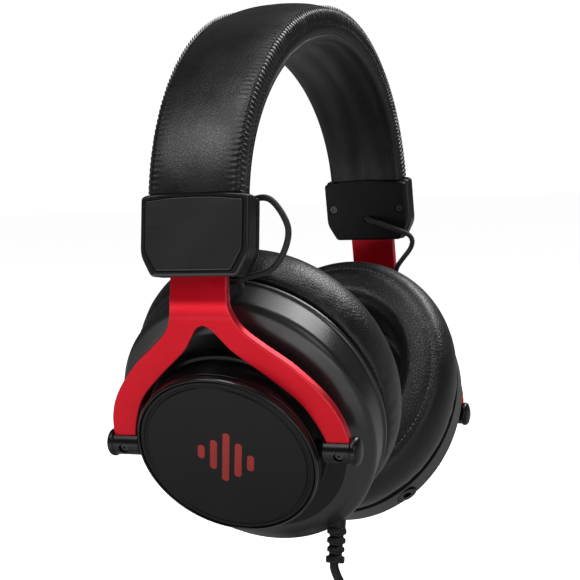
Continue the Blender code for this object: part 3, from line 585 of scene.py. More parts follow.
def coil_point(t):
    k = math.floor(t)
    f = ease((t - k) / COIL_SHIFT)
    before = LANES - k if k < LANES else k - LANES
    lane = before + (abs(LANES - 1 - k) - before) * f
    layer = ease((t - (LANES - 1) - 0.45) / 0.35)
    a = COIL_START + math.tau * t
    r = COIL_R0 + COIL_STEP * lane
    return Vector((COIL_C[0] + r * math.cos(a), COIL_C[1] + r * math.sin(a), z0 + COIL_STEP * layer))


TURNS = 2 * LANES - 1
FINE = 48
coil = [coil_point(i / FINE) for i in range(TURNS * FINE)]
c0, c1 = coil_point(0), coil_point(1 / COIL_K)
tang = (c1 - c0).normalized()
out_at = coil_point(TURNS - 1e-6)
out_dir = Vector((-math.sin(COIL_START), math.cos(COIL_START), 0))
tail_ctrl = [out_at] + [out_at + out_dir * d - Vector((0, 0, h)) for d, h in ((6.0, 0.0), (12.0, 0.0), (17.0, 0.9), (22.0, 2.0), (27.0, 2.8), (33.0, 3.0))]
drop_ctrl = [boot_end, boot_out, boot_out + Vector((-0.5, -3.5, -7.0)), boot_out + Vector((0.0, -9.0, -15.0)), boot_out + Vector((0.5, -14.0, -28.0)), c0 - tang * 26 + Vector((-1.5, -2.0, 11.0)), c0 - tang * 15 + Vector((0, 0, 3.0)), c0 - tang * 6 + Vector((0, 0, 0.3)), c0]
drop = smooth_path(drop_ctrl, 12)


def path_len(p):
    return sum((b - a).length for a, b in zip(p, p[1:]))


def split_at(p, d):
    run = 0.0
    for i, (a, b) in enumerate(zip(p, p[1:])):
        run += (b - a).length
        if run >= d:
            return i + 1
    return len(p) - 1


i1 = split_at(drop, 33.0)
i2 = split_at(drop, 66.0)
part_cup, part_fork, part_rest = drop[:i1 + 1], drop[i1:i2 + 1], drop[i2:] + coil[1:] + smooth_path(tail_ctrl, 4)[1:]


def cord_piece(name, pts, nodes, body, sides=16, replaced=()):
    ob = place(name, tube(pts, CORD_D / 2, sides), M_RUBBER, body, nodes=nodes, angle=60)
    return ob


cord_low = cord_piece("cord_wound", part_rest, ("cord_coil", "cord_drop"), "headband")
cord_mid = cord_piece("cord_middle", part_fork, ("cord_drop",), None)
cord_top = cord_piece("cord_upper", part_cup, ("cord_drop",), None)
m0, m1, m2 = part_cup[2] * MM, part_cup[-1] * MM, part_fork[-1] * MM
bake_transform(cord_top)
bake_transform(cord_mid)


print("CORD lengths mm", path_len(part_cup), path_len(part_fork), path_len(part_rest))

# ------------------------------------------------------------------ hard parts
YV = Matrix(((0, 0, 1, 0), (1, 0, 0, 0), (0, 1, 0, 0), (0, 0, 0, 1)))


def turned(bm, m=YV):
    bmesh.ops.transform(bm, matrix=m, verts=bm.verts)
    return bm


def harden(ob):
    mod = ob.modifiers.new("shade", "WEIGHTED_NORMAL")
    mod.keep_sharp = True
    return ob


def block_outline(inset=0.0, r=1.6):
    w, h, b = BLOCK_HW - inset, BLOCK_H, inset
    half = [(w - CH_W, b), (w, b + CH_H + 0.6), (w, h - 1.3 - b * 0.6), (w - 1.8, h - 0.45 - b), (w * 0.5, h + 0.3 - b)]
    pts = half + [(0, h + 0.5 - b)] + [(-y, u) for y, u in reversed(half)]
    k = max(r - inset * 0.3, 0.6)
    rad = [k * 0.9, k * 1.5, k * 1.2, k * 1.0, 3.0]
    return fillet(pts, rad + [3.0] + rad[::-1], 5)


def build_block(side):
    sm = SHIFT[side]
    body = turned(plate([block_outline()], -1.5, HALF_T, 0.95, 3))
    cuts = [box((-3, -(STEM_HW + 0.4), -3), (3.2, STEM_HW + 0.4, BLOCK_H + 3)), turned(plate([block_outline(1.6)], HALF_T - 0.45, HALF_T + 2))]
    harden(place(side + "_block_shell", carve(body, cuts), M_BLOCK, "headband", side, BLOCK_M, (side + "_block_outer",), 34))
    face = turned(plate([block_outline(1.95)], HALF_T - 0.3, HALF_T + 0.55, 0.32, 3))
    harden(place(side + "_block_panel", face, M_FACE, "headband", side, BLOCK_M, (side + "_block_face",), 34))
    inner = turned(plate([block_outline(0.5)], -HALF_T, -1.8, 0.9, 3))
    cuts = [cylinder((-HALF_T - 1, s * 15.2, 14.5), (-HALF_T + 1.7, s * 15.2, 14.5), 2.0, 28) for s in (-1, 1)]
    cuts.append(cylinder((-HALF_T - 1, 0, 10.0), (-2.6, 0, 10.0), 1.5, 24))
    harden(place(side + "_block_back", carve(inner, cuts), M_INNER, "headband", side, BLOCK_M, (side + "_block_inner",), 34))


ARM_LEN_X, ARM_LEN_Z = 93.40 - PIVOT[0], -89.27 - PIVOT[1]
ARM_ANGLE = math.atan2(ARM_LEN_X, ARM_LEN_Z)
BEND = ARM_ANGLE - math.radians(BLOCK[2])
BEND_R = 9.0
BEND_T = BEND_R * math.tan(BEND / 2)
L1 = math.hypot(ARM_LEN_X, ARM_LEN_Z) - BEND_T
L2 = L1 + BEND_R * BEND
FORK_TOP = L2 + (9.1 - BEND_T) + 26.0
OUTER_EDGE = [(43.1, -2.8), (43.3, 4.0), (41.6, 13.0), (37.1, 22.0), (28.4, 32.4), (20.2, 39.4), (13.6, 45.8), (10.7, 52.6), (10.0, 60.0)]
INNER_EDGE = [(0.0, 47.6), (2.6, 46.2), (5.6, 42.0), (9.4, 37.2), (19.8, 28.0), (28.0, 19.6), (32.4, 11.6), (34.9, 4.0), (35.3, -2.8)]
ARM_M = frame_matrix(PIVOT[0], PIVOT[1], math.degrees(ARM_ANGLE))


def fork_centre(L):
    if L <= L1:
        return PIVOT[0] + math.sin(ARM_ANGLE) * L, PIVOT[1] + math.cos(ARM_ANGLE) * L, ARM_ANGLE
    x, z = PIVOT[0] + math.sin(ARM_ANGLE) * L1, PIVOT[1] + math.cos(ARM_ANGLE) * L1
    a = ARM_ANGLE - (min(L, L2) - L1) / BEND_R
    cx, cz = x - math.cos(ARM_ANGLE) * BEND_R, z + math.sin(ARM_ANGLE) * BEND_R
    x, z = cx + math.cos(a) * BEND_R, cz - math.sin(a) * BEND_R
    if L > L2:
        x, z = x + math.sin(a) * (L - L2), z + math.cos(a) * (L - L2)
    return x, z, a


def build_fork(side):
    outer = [(p.x, p.y) for p in smooth_path([(y, v, 0) for y, v in OUTER_EDGE], 7)]
    inner = [(p.x, p.y) for p in smooth_path([(y, v, 0) for y, v in INNER_EDGE], 7)]
    pts = outer + [(STEM_HW, L2 + 9.0), (STEM_HW - 0.6, L2 + 9.6), (STEM_HW - 0.6, FORK_TOP - 1.2), (STEM_HW - 1.8, FORK_TOP)]
    pts += [(-y, v) for y, v in reversed(outer + [(STEM_HW, FORK_TOP - 1.2), (STEM_HW - 1.2, FORK_TOP)])]
    pts += [(-y, v) for y, v in inner[::-1]][:-1] + inner
    bm = plate([pts], -STEM_T / 2, STEM_T / 2, 0.55, 3)
    for k in range(19):
        v = L1 - 0.4 + (L2 - L1 + 0.8) * k / 18
        bmesh.ops.bisect_plane(bm, geom=list(bm.verts) + list(bm.edges) + list(bm.faces), plane_co=(0, v, 0), plane_no=(0, 1, 0))
    bmesh.ops.triangulate(bm, faces=[f for f in bm.faces if len(f.verts) > 4])
    for v in bm.verts:
        y, L, t = v.co
        x, z, a = fork_centre(L)
        v.co = Vector((x + math.cos(a) * t, y, z - math.sin(a) * t))
    bm = outward(bm, 0.0001)
    harden(place(side + "_yoke", bm, M_RED, side + "_fork", side, SHIFT[side], (side + "_fork",), 30))


def build_posts(side):
    for tag, sgn in (("front", -1), ("rear", 1)):
        prof = [(0, 46.3), (2.6, 46.15), (4.4, 45.55), (4.9, 44.8), (4.9, 43.7), (4.3, 43.35), (4.3, 34.1), (3.8, 33.4), (2.0, 33.4), (2.0, 28.0), (1.6, 27.6), (0, 27.6)]
        bm = turned(revolve([prof[0]] + fillet(prof[1:-1], 0.28, 3, closed=False) + [prof[-1]], 56, closed=False))
        if sgn < 0:
            bmesh.ops.transform(bm, matrix=Matrix.Scale(-1, 4, Vector((0, 1, 0))), verts=bm.verts)
            bmesh.ops.reverse_faces(bm, faces=bm.faces)
        y0, y1 = sorted((sgn * 34.3, sgn * 43.9))
        cuts = [box((-STEM_T / 2 - 0.3, y0, -3.2), (STEM_T / 2 + 0.3, y1, 8)), cylinder((1.0, sgn * 39.5, 0), (6, sgn * 39.5, 0), 1.75, 28), cylinder((-3.4, sgn * 39.5, 0), (6, sgn * 39.5, 0), 1.2, 24)]
        harden(place(f"{side}_post_{tag}", carve(bm, cuts), M_POST, side + "_fork", side, SHIFT[side] @ ARM_M, (f"{side}_pivot_post_{tag}",), 34))


def tri_bar(y, half_h, half_w, cx=0.0):
    pts = []
    for k in range(13):
        a = math.pi * k / 12
        pts.append((y + half_w * math.cos(a), half_h - half_w + half_w * math.sin(a)))
    for k in range(13):
        a = math.pi + math.pi * k / 12
        pts.append((y + half_w * math.cos(a), -half_h + half_w + half_w * math.sin(a)))
    return pts


def build_cup(side):
    m, body = CUP[side], side + "_cup"
    R = HOUSE_R
    prof = [
        (23.0, FRONT_N), (R - 8.6, FRONT_N), (R - 5.0, FRONT_N - 1.1), (R - 1.1, WALL_N + 0.5), (R, WALL_N - 1.2), (R, BACK_N + 1.6), (R + 0.7, BACK_N + 1.1), (R + 0.7, BACK_N),
        (R - 2.2, BACK_N), (R - 2.2, WALL_N - 1.6), (R - 10.0, FRONT_N - 2.2), (22.0, FRONT_N - 2.2), (22.0, FRONT_N - 0.9),
    ]
    rad = [0.4, 1.2, 1.2, 0.9, 0.9, 0.2, 0.25, 0.25, 0.0, 0.0, 0.0, 0.0, 0.2]
    bm = revolve(fillet(prof, rad, 4), 144, OVAL, centre=DROP)
    if side == "left":
        bm = carve(bm, [cylinder(BOOT_P - BOOT_D * 9, BOOT_P + BOOT_D * 14, 3.5, 36)])
    else:
        sd = Vector((0, -0.575, -0.818)).normalized()
        p = Vector((-18.8, 0.0, DROP)) + sd * 40
        bm = carve(bm, [cylinder(p, p + sd * 20, 4.5, 40)])
    wall = []
    for f in bm.faces:
        c = f.calc_center_median()
        if math.hypot(c.y, (c.z - DROP) / OVAL) > R - 9.1:
            wall.append(f.index)
    ob = place(side + "_shell", bm, M_GLOSS, body, side, m, (side + "_housing",), 30)
    ob.data.materials.append(M_WALL)
    for i in wall:
        ob.data.polygons[i].material_index = 1
    harden(ob)
    prof = [(0, 3.6), (RIM_R - 0.9, 3.6), (RIM_R, 3.1), (RIM_R, -4.4), (RIM_R - 0.5, -5.0), (RIM_R - 0.5, -5.8), (33.0, -6.4), (33.0, FRONT_N + 0.3), (RIM_R - 1.6, FRONT_N + 0.3), (RIM_R - 2.2, 1.4), (0, 1.4)]
    bm = revolve([prof[0]] + fillet(prof[1:-1], 0.22, 3, closed=False) + [prof[-1]], 128, closed=False)
    bm = carve(bm, [cylinder((0, s * 26, 0), (0, s * 40, 0), 2.3, 24) for s in (-1, 1)])
    harden(place(side + "_drum", bm, M_HUB, body, side, m, (side + "_hub",), 30))
    n = DISC_N
    prof = [(0, n), (DISC_R - 2.7, n), (DISC_R - 2.35, n - 0.5), (DISC_R - 1.75, n - 0.5), (DISC_R - 1.3, n), (DISC_R - 0.4, n), (DISC_R, n - 0.4), (DISC_R, 3.9), (0, 3.9)]
    bm = revolve([prof[0]] + fillet(prof[1:-1], 0.16, 3, closed=False) + [prof[-1]], 128, closed=False)
    harden(place(side + "_disc", bm, M_DISC, body, side, m, (side + "_cover_disc",), 28))
    prof = [(DISC_R + 0.3, 3.9), (DISC_R + 0.3, n + 0.05), (DISC_R + 0.7, n + 0.3), (RIM_R - 0.15, n - 0.1), (RIM_R + 0.05, n - 0.7), (RIM_R + 0.05, 3.9)]
    harden(place(side + "_lip", revolve(fillet(prof, 0.16, 3), 128), M_TRIM, body, side, m, (side + "_trim_ring",), 30))
    bars = [tri_bar(y, h, 1.25) for y, h in ((-8.8, 3.4), (-4.4, 7.4), (0.0, 10.6), (4.4, 6.4), (8.8, 3.0))]
    bm = turned(plate(bars, n - 0.02, n + 0.09, 0.03, 1))
    lean = Matrix.Rotation(math.radians(14), 4, "X")
    place(side + "_emblem", bm, M_EMBLEM, body, side, m @ lean, (), 30)
    prof = [(0, CU_N0 - 0.05), (24.9, CU_N0 - 0.05), (25.2, CU_N0 - 0.6), (24.7, CU_N0 - 1.0)]
    dome = [(24.7 * math.cos(t * math.pi / 16), CU_N0 - 1.0 - 1.6 * math.sin(t * math.pi / 16)) for t in range(1, 8)] + [(0, CU_N0 - 2.6)]
    place(side + "_speaker_cloth", revolve(prof + dome, 72, OVAL, closed=False, centre=DROP), M_CLOTH, body, side, m, (side + "_ear_cloth",), 60)


def build_boot():
    c = CORD_D / 2 + 0.15
    prof = [(c, -5.0), (3.1, -5.0), (3.1, 3.2), (3.5, 3.6), (3.5, 5.2), (2.55, 5.6), (2.55, 6.4), (3.35, 6.8), (3.35, 8.4), (2.45, 8.8), (2.45, 9.6), (3.15, 10.0), (3.15, 11.4), (2.35, 11.8), (2.35, 12.8), (3.4, 13.2), (3.4, BOOT_LEN - 0.4), (2.9, BOOT_LEN), (c, BOOT_LEN)]
    bm = revolve(fillet(prof, 0.3, 3), 48)
    rot = Vector((1, 0, 0)).rotation_difference(BOOT_D).to_matrix().to_4x4()
    cuts = []
    bmesh.ops.transform(bm, matrix=Matrix.Translation(BOOT_P) @ rot, verts=bm.verts)
    harden(place("left_strain_relief", bm, M_RUBBER, "left_cup", "left", CUP["left"], ("left_cord_boot",), 34))


for side in ("left", "right"):
    build_block(side)
    build_fork(side)
    build_posts(side)
    build_cup(side)
build_boot()


def refine(name, mat, body, width=0.12, angle=35):
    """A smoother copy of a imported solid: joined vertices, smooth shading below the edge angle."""
    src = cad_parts[name]
    bm = bmesh.new()
    bm.from_mesh(src.data)
    bmesh.ops.scale(bm, vec=(1000, 1000, 1000), verts=bm.verts)
    bmesh.ops.remove_doubles(bm, verts=bm.verts, dist=0.002)
    bmesh.ops.recalc_face_normals(bm, faces=bm.faces)
    return place(name + "_fine", bm, mat, body, nodes=(name,), angle=angle)


def paint(name, mat):
    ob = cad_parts[name]
    ob.data.materials.clear()
    ob.data.materials.append(mat)


for side in ("left", "right"):
    for tag in ("front", "rear"):
        refine(f"{side}_block_screw_{tag}", M_DARK, "headband")
        refine(f"{side}_post_screw_{tag}", M_DARK, side + "_fork")
    refine(side + "_baffle", M_INNER, side + "_cup")
    paint(side + "_detent_spring", M_STEEL)
    paint(side + "_driver_frame", M_DARK)
    paint(side + "_driver_magnet", M_STEEL)
    paint(side + "_diaphragm", M_FILM)
refine("right_mic_socket", M_GLOSS, "right_cup", angle=40)
paint("left_terminal_board", M_BOARD)
paint("headband_spring", M_STEEL)
plug_b = refine("plug_body", M_RUBBER, "headband", angle=40)
plug_t = refine("plug_tip", M_GOLD, "headband", angle=40)
tie = refine("cord_tie", M_RUBBER, "headband", angle=40)

# ------------------------------------------------------------------ headband
def band_point(theta, off):
    c, s = math.cos(theta), math.sin(theta)
    t = Vector((BAND_B * c, BAND_A * s)).normalized()
    return BAND_A * c + t.x * off, BAND_Z0 + BAND_B * s + t.y * off


def end_amount(theta):
    return ease(abs(theta / math.pi - 0.5) * 2 / 0.9)


def arc_stations(step, off=0.0):
    """Angles spaced evenly along the arch, with the running length."""
    e = math.radians(BAND_END) - 2.3 / 88.0
    n = 4000
    th = [e + (math.pi - 2 * e) * i / n for i in range(n + 1)]
    run = [0.0]
    for a, b in zip(th, th[1:]):
        p, q = band_point(a, off), band_point(b, off)
        run.append(run[-1] + math.hypot(q[0] - p[0], q[1] - p[1]))
    k = max(2, round(run[-1] / step))
    out, j = [], 0
    for i in range(k + 1):
        s = run[-1] * i / k
        while j < n - 1 and run[j + 1] < s:
            j += 1
        f = (s - run[j]) / (run[j + 1] - run[j])
        out.append((th[j] + (th[j + 1] - th[j]) * f, s))
    return out, run[-1]


PITCH = 1.95


def half_width(theta):
    e = end_amount(theta)
    return W_TOP + (W_END - W_TOP) * e


def pad_depth(theta):
    e = end_amount(theta)
    return PAD_TOP + (PAD_END - PAD_TOP) * e


def cover_height(theta, y, s):
    """Height of the leather over the seam line at distance y from the middle."""
    e = end_amount(theta)
    w, crown = half_width(theta), 3.9 - 2.7 * e
    x = min(abs(y) / (w - 0.4), 1.0)
    soft = noise.noise(Vector((s * 0.045, y * 0.07, 3.1))) * 0.20 + noise.noise(Vector((s * 0.14, y * 0.12, 9.0))) * 0.07
    h = crown * (1 - x ** 2.6) + 0.75 * x ** 2.6 + soft * (1 - x ** 4)
    near = math.exp(-((abs(y) - w + 1.3) / 1.5) ** 2)
    return h - near * 0.20 * (0.5 + 0.5 * math.cos(math.tau * s / PITCH))


def cover_profile(theta, s):
    w = half_width(theta)
    top = w - 0.4
    out = [(top * k / 13, cover_height(theta, top * k / 13, s)) for k in range(13)]
    edge = cover_height(theta, top, s)
    out += [(top, edge), (top + 0.35, edge - 0.35), (top + 0.5, edge - 0.9), (top + 0.3, -1.5), (top - 0.3, -2.1), (w * 0.5, -2.1)]
    return out


stations, BAND_LEN = arc_stations(PITCH / 6)
sections = []
for th, s in stations:
    right_half = cover_profile(th, s)
    left_half = cover_profile(th, s + PITCH * 0.37)
    full = right_half[1:] + [(0.0, -2.1)] + [(-y, r) for y, r in reversed(left_half[1:])] + [(0.0, cover_height(th, 0, s))]
    sec = []
    for y, r in full:
        x, z = band_point(th, r)
        sec.append((x, y, z))
    sections.append(sec)
cover = place("band_cover", loft(sections), M_BAND, "headband", nodes=("headband_cover",), angle=70)

# thread: one short strand over the rolled edge for each stitch, and near-black capsules at its holes as painted shade
# for the holes
sts, _ = arc_stations(PITCH)


def capsule_arc(bm, pts, r, sides=6):
    rings = []
    for i, (p, t, a, b) in enumerate(transport(pts)):
        rr = r * (0.45 if i in (0, len(pts) - 1) else 1.0)
        rings.append([bm.verts.new(p + (a * math.cos(math.tau * k / sides) + b * math.sin(math.tau * k / sides)) * rr) for k in range(sides)])
    for p, q in zip(rings, rings[1:]):
        for k in range(sides):
            m = (k + 1) % sides
            bm.faces.new((p[k], p[m], q[m], q[k]))
    bm.faces.new(rings[0][::-1])
    bm.faces.new(rings[-1])


def band_xyz(s, y, r, table=arc_stations(0.25)[0]):
    i = min(max(int(round(s / BAND_LEN * (len(table) - 1))), 0), len(table) - 1)
    x, z = band_point(table[i][0], r)
    return Vector((x, y, z)), table[i][0]


def strip_point(theta, t, s, lift=0.0, pucker=1.0):
    """Laced edge: t runs from the top of the band's side to its underside."""
    w, d = half_width(theta), pad_depth(theta)
    bump = abs(math.sin(math.pi * s / PITCH)) ** 0.55
    jit = 0.85 + 0.35 * noise.noise(Vector((s * 0.9, 4.0, 1.0)))
    body = math.sin(math.pi * min(max(t, 0.0), 1.0)) ** 0.5
    y = w - 0.35 + 1.55 * body + lift - 0.85 * (1 - bump) * pucker * jit * body ** 0.7
    rail = 0.28 * math.exp(-((t - 0.72) / 0.10) ** 2) - 0.30 * math.exp(-((t - 0.55) / 0.07) ** 2)
    r = 0.95 - (d - 1.0) * t
    return y + rail * bump, r


for side, sgn, ph in (("front", -1, 0.0), ("rear", 1, 0.4)):
    sections = []
    for th, s in stations:
        sec = []
        pts = [strip_point(th, k / 15, s + ph * PITCH) for k in range(16)]
        w, d = half_width(th), pad_depth(th)
        pts += [(w - 0.9, 0.95 - (d - 1.0)), (w - 1.3, -d * 0.5), (w - 0.9, 0.5)]
        for y, r in pts:
            x, z = band_point(th, r)
            sec.append((x, sgn * y, z))
        sections.append(sec)
    edge = place("band_lacing_" + side, loft(sections), M_BAND, "headband", angle=75)

thread, hole_shade_mesh = bmesh.new(), bmesh.new()
count = int(BAND_LEN / PITCH)
for sgn, ph in ((-1, 0.0), (1, 0.4)):
    for i in range(1, count + 1):
        s = (i - ph) * PITCH
        if s < 1.0 or s > BAND_LEN - 1.0:
            continue
        _, th = band_xyz(s, 0, 0)
        slant = 0.5
        pts = []
        for t, lift in ((-0.10, -0.15), (-0.02, 0.02), (0.10, 0.10), (0.32, 0.10), (0.52, 0.02), (0.60, -0.28)):
            y, r = strip_point(th, t, s + ph * PITCH, lift)
            ss = s + slant * (t - 0.3)
            p, _ = band_xyz(ss, sgn * y, r + (0.12 if t < 0.05 else 0.0))
            pts.append(p)
        capsule_arc(thread, pts, 0.25)
        # two near-black capsules per stitch: painted shade of its holes
        y, r = strip_point(th, 0.62, s + ph * PITCH)
        a, _ = band_xyz(s + slant * 0.35, sgn * (y + 0.20), r)
        b, _ = band_xyz(s + slant * 0.35, sgn * (y - 0.6), r)
        capsule_arc(hole_shade_mesh, [b, a.lerp(b, 0.4), a], 0.36)
        w = half_width(th)
        h = cover_height(th, w - 1.15, s)
        a, _ = band_xyz(s - slant * 0.4, sgn * (w - 1.25), h + 0.06)
        b, _ = band_xyz(s - slant * 0.4, sgn * (w - 0.75), h - 0.5)
        capsule_arc(hole_shade_mesh, [b, a.lerp(b, 0.4), a], 0.36)
bmesh.ops.recalc_face_normals(thread, faces=thread.faces)
bmesh.ops.recalc_face_normals(hole_shade_mesh, faces=hole_shade_mesh.faces)
place("band_thread", thread, M_THREAD, "headband", angle=60)
place("band_stitch_holes", hole_shade_mesh, M_HOLE_SHADE, "headband", angle=60)


def pad_profile(theta, s):
    e = end_amount(theta)
    w = half_width(theta)
    t = PAD_TOP + (PAD_END - PAD_TOP) * e
    near = ease((abs(theta / math.pi - 0.5) * 2 - 0.70) / 0.08)
    g = 3.5 + 3.6 * near
    top = [(0.0, -g), (STEM_HW + 0.6, -g), (STEM_HW + 0.9, -3.5), (w - 1.6, -2.45), (w - 1.3, -2.75)]
    side_pts = []
    for k in range(1, 8):
        q = k / 8
        side_pts.append((w - 1.3 + 1.0 * q ** 3, -3.0 - (t - 4.9) * q))
    corner = []
    for k in range(8):
        a = math.pi / 2 * k / 7
        corner.append((w + 0.35 - 2.6 * (1 - math.cos(a)), -(t - 1.5) - 1.5 * math.sin(a)))
    bottom = []
    for k in range(1, 15):
        y = (w - 2.25) * (1 - k / 14)
        fold = 0.20 * math.cos(math.tau * y / 11.5 + 1.2 * noise.noise(Vector((s * 0.03, 0.5, 2.0)))) * (0.6 + 0.8 * noise.noise(Vector((s * 0.035, 7.0, 1.0))) ** 2 + 0.3 * (1 - e))
        soft = 0.35 * noise.noise(Vector((s * 0.05, y * 0.06, 5.0)))
        bottom.append((y, -t - 0.15 + fold + soft))
    return top, side_pts + corner, bottom


sections = []
for th, s in arc_stations(0.85)[0]:
    top, outer_pts, bottom = pad_profile(th, s)
    half = top[1:] + outer_pts + bottom[:-1]
    top2, outer2, bottom2 = pad_profile(th, s + 40.0)
    t2 = [(-y, r) for y, r in top[1:] + outer_pts]
    flip = [(-y, r + 0.25 * noise.noise(Vector((s * 0.05, y * 0.1, 11.0)))) for y, r in bottom[:-1]]
    full = [top[0]] + half + [bottom[-1]] + list(reversed(t2 + flip))
    sec = []
    for y, r in full:
        x, z = band_point(th, r)
        sec.append((x, y, z))
    sections.append(sec)
pad = place("band_lining", loft(sections), M_LINING, "headband", nodes=("headband_pad",), angle=70)

# ------------------------------------------------------------------ ear cushions
SEAM_R = CU_OUT - 7.4
P_STEPS, R_STEPS = 196, 46


def cushion_outline():
    a, b, n0, n1 = CU_IN, CU_OUT, CU_N0, CU_N1
    ctrl = [
        (a + 0.6, n0), (a + 10, n0), (b - 5.0, n0), (b - 3.2, n0 - 0.7), (b - 1.6, n0 - 4.2), (b - 0.7, n0 - 10.0), (b - 1.7, n0 - 16.4), (b - 4.6, n1 + 2.6), (b - 8.8, n1 + 0.7),
        (a + 10.0, n1 + 0.6), (a + 5.6, n1 + 1.4), (a + 2.4, n1 + 4.2), (a + 0.9, n1 + 9.0), (a + 0.5, n0 - 8.0),
    ]
    dense = smooth_path([(r, n, 0) for r, n in ctrl + ctrl[:1]], 16)[:-1]
    run = [0.0]
    for p, q in zip(dense, dense[1:] + dense[:1]):
        run.append(run[-1] + (q - p).length)
    out, j = [], 0
    for i in range(R_STEPS):
        s = run[-1] * i / R_STEPS
        while run[j + 1] < s:
            j += 1
        f = (s - run[j]) / (run[j + 1] - run[j])
        p = dense[j].lerp(dense[(j + 1) % len(dense)], f)
        out.append((p.x, p.y))
    return out


CU_LINE = cushion_outline()


def cushion_grid():
    return [[Vector((n, r * math.cos(math.tau * i / P_STEPS), r * math.sin(math.tau * i / P_STEPS) * OVAL + DROP)) for r, n in CU_LINE] for i in range(P_STEPS)]


def grid_mesh(grid):
    verts = [tuple(p) for row in grid for p in row]
    faces = []
    k = len(grid[0])
    for i in range(len(grid)):
        for j in range(k):
            a, b = i * k + j, i * k + (j + 1) % k
            c, d = ((i + 1) % len(grid)) * k + (j + 1) % k, ((i + 1) % len(grid)) * k + j
            faces.append((a, b, c, d))
    return verts, faces


def simulate(grid, cap=1.5, frames=20):
    """Inflate the sewn ring as cloth; its mounting face stays put."""
    verts, faces = grid_mesh(grid)
    me = bpy.data.meshes.new("tmp_cloth")
    me.from_pydata([tuple(c * MM for c in v) for v in verts], [], faces)
    bm = bmesh.new()
    bm.from_mesh(me)
    bmesh.ops.recalc_face_normals(bm, faces=bm.faces)
    if bm.calc_volume(signed=True) < 0:
        bmesh.ops.reverse_faces(bm, faces=bm.faces)
    bm.to_mesh(me)
    bm.free()
    ob = temp(me)
    vg = ob.vertex_groups.new(name="held")
    k = len(grid[0])
    for i, v in enumerate(verts):
        if v[0] > CU_N0 - 0.9:
            vg.add([i], 1.0, "REPLACE")
    mod = ob.modifiers.new("cloth", "CLOTH")
    st = mod.settings
    st.quality = 5
    st.mass = 0.25
    st.use_pressure = True
    st.uniform_pressure_force = 3.0
    st.tension_stiffness = 12
    st.compression_stiffness = 12
    st.shear_stiffness = 4
    st.bending_stiffness = 0.12
    st.shrink_min = -0.02
    st.effector_weights.gravity = 0.0
    st.vertex_group_mass = "held"
    mod.collision_settings.use_collision = False
    mod.collision_settings.use_self_collision = False
    mod.point_cache.frame_start = 1
    mod.point_cache.frame_end = frames
    sc = bpy.context.scene
    for f in range(1, frames + 1):
        sc.frame_set(f)
    dg = bpy.context.evaluated_depsgraph_get()
    ev = ob.evaluated_get(dg)
    got = [Vector(v.co) * 1000 for v in ev.data.vertices]
    sc.frame_set(1)
    dispose(ob)
    out = []
    for i, row in enumerate(grid):
        new = []
        for j, p in enumerate(row):
            d = got[i * k + j] - p
            if d.length > cap:
                d = d.normalized() * cap
            new.append(p + d)
        out.append(new)
    return out


grid = cushion_grid()
grid = simulate(grid)
rest_grid = cushion_grid()


def ring_amount(j, n_lo, n_hi):
    n = CU_LINE[j][1]
    return ease((n - n_lo) / (n_hi - n_lo))


def finish_cushion(side):
    """Gathers at the mounting seam, the face seam channel, then the ring as a mesh."""
    seed = 3.0 if side == "left" else 17.0
    out = []
    for i, row in enumerate(grid):
        a = math.tau * i / P_STEPS
        new = []
        for j, p in enumerate(row):
            r, n = CU_LINE[j]
            outer_side = r > CU_OUT - 6.5 and n < CU_N0 - 0.05
            q = Vector(p)
            rad = Vector((0, math.cos(a), math.sin(a)))
            if outer_side:
                depth = CU_N0 - n
                fade = math.exp(-((depth - 3.0) / 4.6) ** 2)
                u = a * HOUSE_R
                lump = noise.noise(Vector((u * 0.33, depth * 0.10, seed))) * 0.9 + noise.noise(Vector((u * 0.8, depth * 0.16, seed + 5))) * 0.55
                zone = 0.45 + 0.75 * max(0.0, noise.noise(Vector((u * 0.05, 1.0, seed + 2))) + 0.35)
                q += rad * (lump * 0.62 * fade * zone - 0.35 * math.exp(-(depth / 1.0) ** 2))
            d = r - SEAM_R
            if n < CU_N1 + 5.0:
                q.x += 0.75 * math.exp(-(d / 0.75) ** 2)
                q.x += 0.16 * math.exp(-(d / 3.0) ** 2) * noise.noise(Vector((a * 26.0, d * 0.3, seed + 8)))
            new.append(q)
        out.append(new)
    if side == "right":
        out = [[Vector((p.x, -p.y, p.z)) for p in row] for row in out]
    verts, faces = grid_mesh(out)
    bm = bmesh.new()
    vs = [bm.verts.new(v) for v in verts]
    for f in faces:
        bm.faces.new([vs[x] for x in f])
    outward(bm, 0.00001)
    ob = place(side + "_ear_cushion", bm, M_CUSHION, side + "_cup", side, CUP[side], (side + "_cushion",), 80)
    sub = ob.modifiers.new("soft", "SUBSURF")
    sub.levels = sub.render_levels = 1
    # thread in the face seam
    thread = bmesh.new()
    count = 150
    j0 = min(range(len(CU_LINE)), key=lambda j: abs(CU_LINE[j][0] - SEAM_R) + (0 if CU_LINE[j][1] < CU_N1 + 6 else 99))

    def seam_point(t, lift):
        i = t * P_STEPS
        a, b = out[int(i) % P_STEPS][j0], out[(int(i) + 1) % P_STEPS][j0]
        p = a.lerp(b, i - int(i))
        return p + Vector((-lift, 0, 0))

    for k in range(count):
        a, b = (k + 0.14) / count, (k + 0.80) / count
        pts = [seam_point(a, -0.15), seam_point(a + (b - a) * 0.12, 0.14), seam_point((a + b) / 2, 0.20), seam_point(b - (b - a) * 0.12, 0.14), seam_point(b, -0.15)]
        capsule_arc(thread, pts, 0.21)
    bmesh.ops.recalc_face_normals(thread, faces=thread.faces)
    place(side + "_ear_thread", thread, M_THREAD_LIGHT, side + "_cup", side, CUP[side], (), 60)
    # ring of points for a welt between housing and cushion; no welt mesh is made from it
    welt = bmesh.new()
    line = [Vector((CU_N0 + 0.3, (HOUSE_R - 0.9) * math.cos(math.tau * i / 150), (HOUSE_R - 0.9) * OVAL * math.sin(math.tau * i / 150) + DROP)) for i in range(150)]


for side in ("left", "right"):
    finish_cushion(side)

